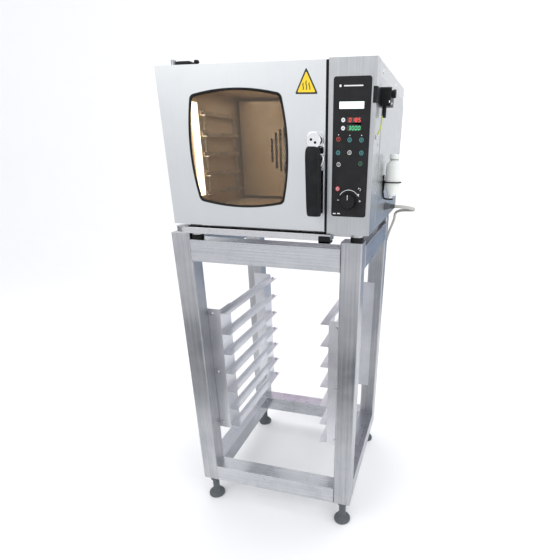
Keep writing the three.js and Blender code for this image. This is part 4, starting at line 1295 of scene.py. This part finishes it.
def addTrayCap(look):
    # black moulding on the right end, with a rolled bead along the lip
    low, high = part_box("drip_tray")
    x0 = onFront(look["capFrom"], 0)[0]
    right = high.x + look["proud"]
    front, under = low.y - .0012, low.z - look["capDrop"]
    cap = Shape()
    cap.prism("y", roundedOutline(x0, right, under, high.z - .0042, .003, 3), front, low.y + .0008)
    cap.prism("z", roundedOutline(x0, right, front, low.y + .030, .003, 3), under, low.z - .0003)
    cap.piece("tray_cap", finishes["black"], "drip_tray", "black_plastic", .0008)
    tip = Vector((low.x + .0320, low.y, 0))
    start = Vector((low.x, low.y + .015, 0))
    bead = Shape()
    path = [start.lerp(tip, i / 6) for i in range(6)]
    path += [tip.lerp(Vector((high.x, low.y, 0)), i / 24) for i in range(25)]
    bead.tube([p + Vector((0, .0006, high.z - .0012)) for p in path], .0012, 12)
    bead.piece("tray_bead", steels["brightSteel"], "drip_tray", "bright_steel", 0)
    mat = Shape()
    left, back = low.x + .0345, high.y - .0025
    floor, top = low.z + .0022, high.z - look["matDepth"]
    mat.prism("z", roundedOutline(left, high.x - .0025, low.y + .0025, back, .002, 3), floor, top)
    for i in range(5):
        y = low.y + .0055 + i * .0075
        rib = roundedOutline(left + .002, high.x - .0045, y, y + .0034, .0012, 3)
        mat.prism("z", rib, top - .0004, top + .0010)
    mat.piece("tray_mat", finishes["rubber"], "drip_tray", "black_rubber", 0)


addIsolatorDetails()
addBottle()
addBottleHolder()
addTrayCap(traySettings)
print("side fittings made")


# ---------- room and light
roomSettings = {
    "floor": tone(.96, .96, .96),
    "back": 3.2,
    "reach": 9,
    "world": .97,
    "lights": (
        # name, place, aimed at, size, watts, colour
        ("key", (-1.6, -2.6, 2.9), (0, 0, .9), 1.8, 22, (1, .99, .97)),
        ("fill", (2.8, -1.6, 1.7), (.2, 0, .9), 1.6, 16, (.93, .97, 1)),
        ("top", (.2, .4, 3.4), (0, 0, .8), 2.2, 30, (1, 1, 1)),
    ),
    "cards": (
        # centre, width, height, facing, tone: seen only in the steel's reflections
        ((-.35, -1.55, .004), 3.0, 1.3, (0, 0, 1), tone(.16, .16, .17)),
        ((.75, 2.1, .35), 1.9, 1.3, (0, -1, 0), tone(.24, .30, .40)),
        ((-.55, 1.9, 1.0), .9, .5, (.2, -1, 0), tone(.55, .34, .52)),
        ((-2.9, -1.2, .9), 2.2, 1.4, (1, .2, 0), tone(.22, .22, .23)),
    ),
    "cavity": (
        # name, from the cavity's middle, aimed along, sizes, watts, colour
        ("stripGlow", (-.166, -.130, 0), (1, .35, 0), (.02, .22), .9, (1, .70, .38)),
        ("ceilingGlow", (0, 0, .140), (0, 0, -1), (.28, .28), 1.15, (1, .86, .68)),
    ),
}


def addRoom(look):
    floor = Shape()
    rows = []
    back, reach = look["back"], look["reach"]
    profile = [(-reach, 0), (back - 1, 0)]
    for i in range(1, 13):
        a = math.radians(90 * i / 12)
        profile.append((back - 1 + math.sin(a), 1 - math.cos(a)))
    profile.append((back, 7))
    for y, z in profile:
        rows.append([floor.mesh.verts.new((x, y, z - .0001)) for x in (-reach, reach)])
    for low, high in zip(rows, rows[1:]):
        floor.mesh.faces.new((low[0], low[1], high[1], high[0]))
    for face in floor.mesh.faces:
        face.smooth = True
    data = bpy.data.meshes.new("floor")
    floor.mesh.to_mesh(data)
    made = bpy.data.objects.new("floor", data)
    bpy.context.scene.collection.objects.link(made)
    paint = Finish("floorPaint")
    cloud = paint.noise((3, 3, 3), 3, .5)
    colour = paint.mixed(cloud, look["floor"], tone(.98, .98, .98))
    data.materials.append(paint.surface({"Base Color": colour, "Roughness": .6}))


def addCards(look):
    for i, (centre, width, height, facing, shade) in enumerate(look["cards"]):
        card = Shape()
        w, h = width / 2, height / 2
        corners = [(-w, -h), (w, -h), (w, h), (-w, h)]
        turn = Vector(facing).to_track_quat("Z", "Y").to_matrix()
        card.rings([[Vector(centre) + turn @ Vector((a, b, c)) for a, b in corners] for c in (0, .002)])
        data = bpy.data.meshes.new(f"card{i}")
        card.mesh.to_mesh(data)
        made = bpy.data.objects.new(f"card{i}", data)
        bpy.context.scene.collection.objects.link(made)
        paint = Finish(f"cardPaint{i}")
        data.materials.append(paint.surface({"Base Color": shade, "Roughness": .9}))
        made.visible_camera = False
        made.visible_diffuse = False
        made.visible_shadow = False
        made.visible_transmission = False


def addLights(look):
    for name, place, target, size, watts, colour in look["lights"]:
        data = bpy.data.lights.new(name, "AREA")
        data.shape = "SQUARE"
        data.size = size
        data.energy = watts
        data.color = colour
        lamp = bpy.data.objects.new(name, data)
        lamp.location = place
        lamp.rotation_euler = (Vector(target) - Vector(place)).to_track_quat("-Z", "Y").to_euler()
        bpy.context.scene.collection.objects.link(lamp)


def addCavityGlow(look):
    low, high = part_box("cavity_liner")
    middle = (low + high) / 2
    for name, offset, aim, sizes, watts, colour in look["cavity"]:
        data = bpy.data.lights.new(name, "AREA")
        data.shape = "RECTANGLE"
        data.size, data.size_y = sizes
        data.energy = watts
        data.color = colour
        glow = bpy.data.objects.new(name, data)
        glow.location = middle + Vector(offset)
        glow.rotation_euler = Vector(aim).to_track_quat("-Z", "Y").to_euler()
        glow.visible_camera = False
        glow.visible_glossy = False
        bpy.context.scene.collection.objects.link(glow)


def addWorld(strength):
    world = bpy.data.worlds.new("room")
    bpy.context.scene.world = world
    world.use_nodes = True
    tree = world.node_tree
    tree.nodes["Background"].inputs["Color"].default_value = tone(.96, .97, 1)
    tree.nodes["Background"].inputs["Strength"].default_value = strength


addRoom(roomSettings)
addCards(roomSettings)
addLights(roomSettings)
addCavityGlow(roomSettings)
addWorld(roomSettings["world"])
bpy.context.scene.view_settings.view_transform = "Standard"
print("room lit")

bpy.context.view_layer.update()
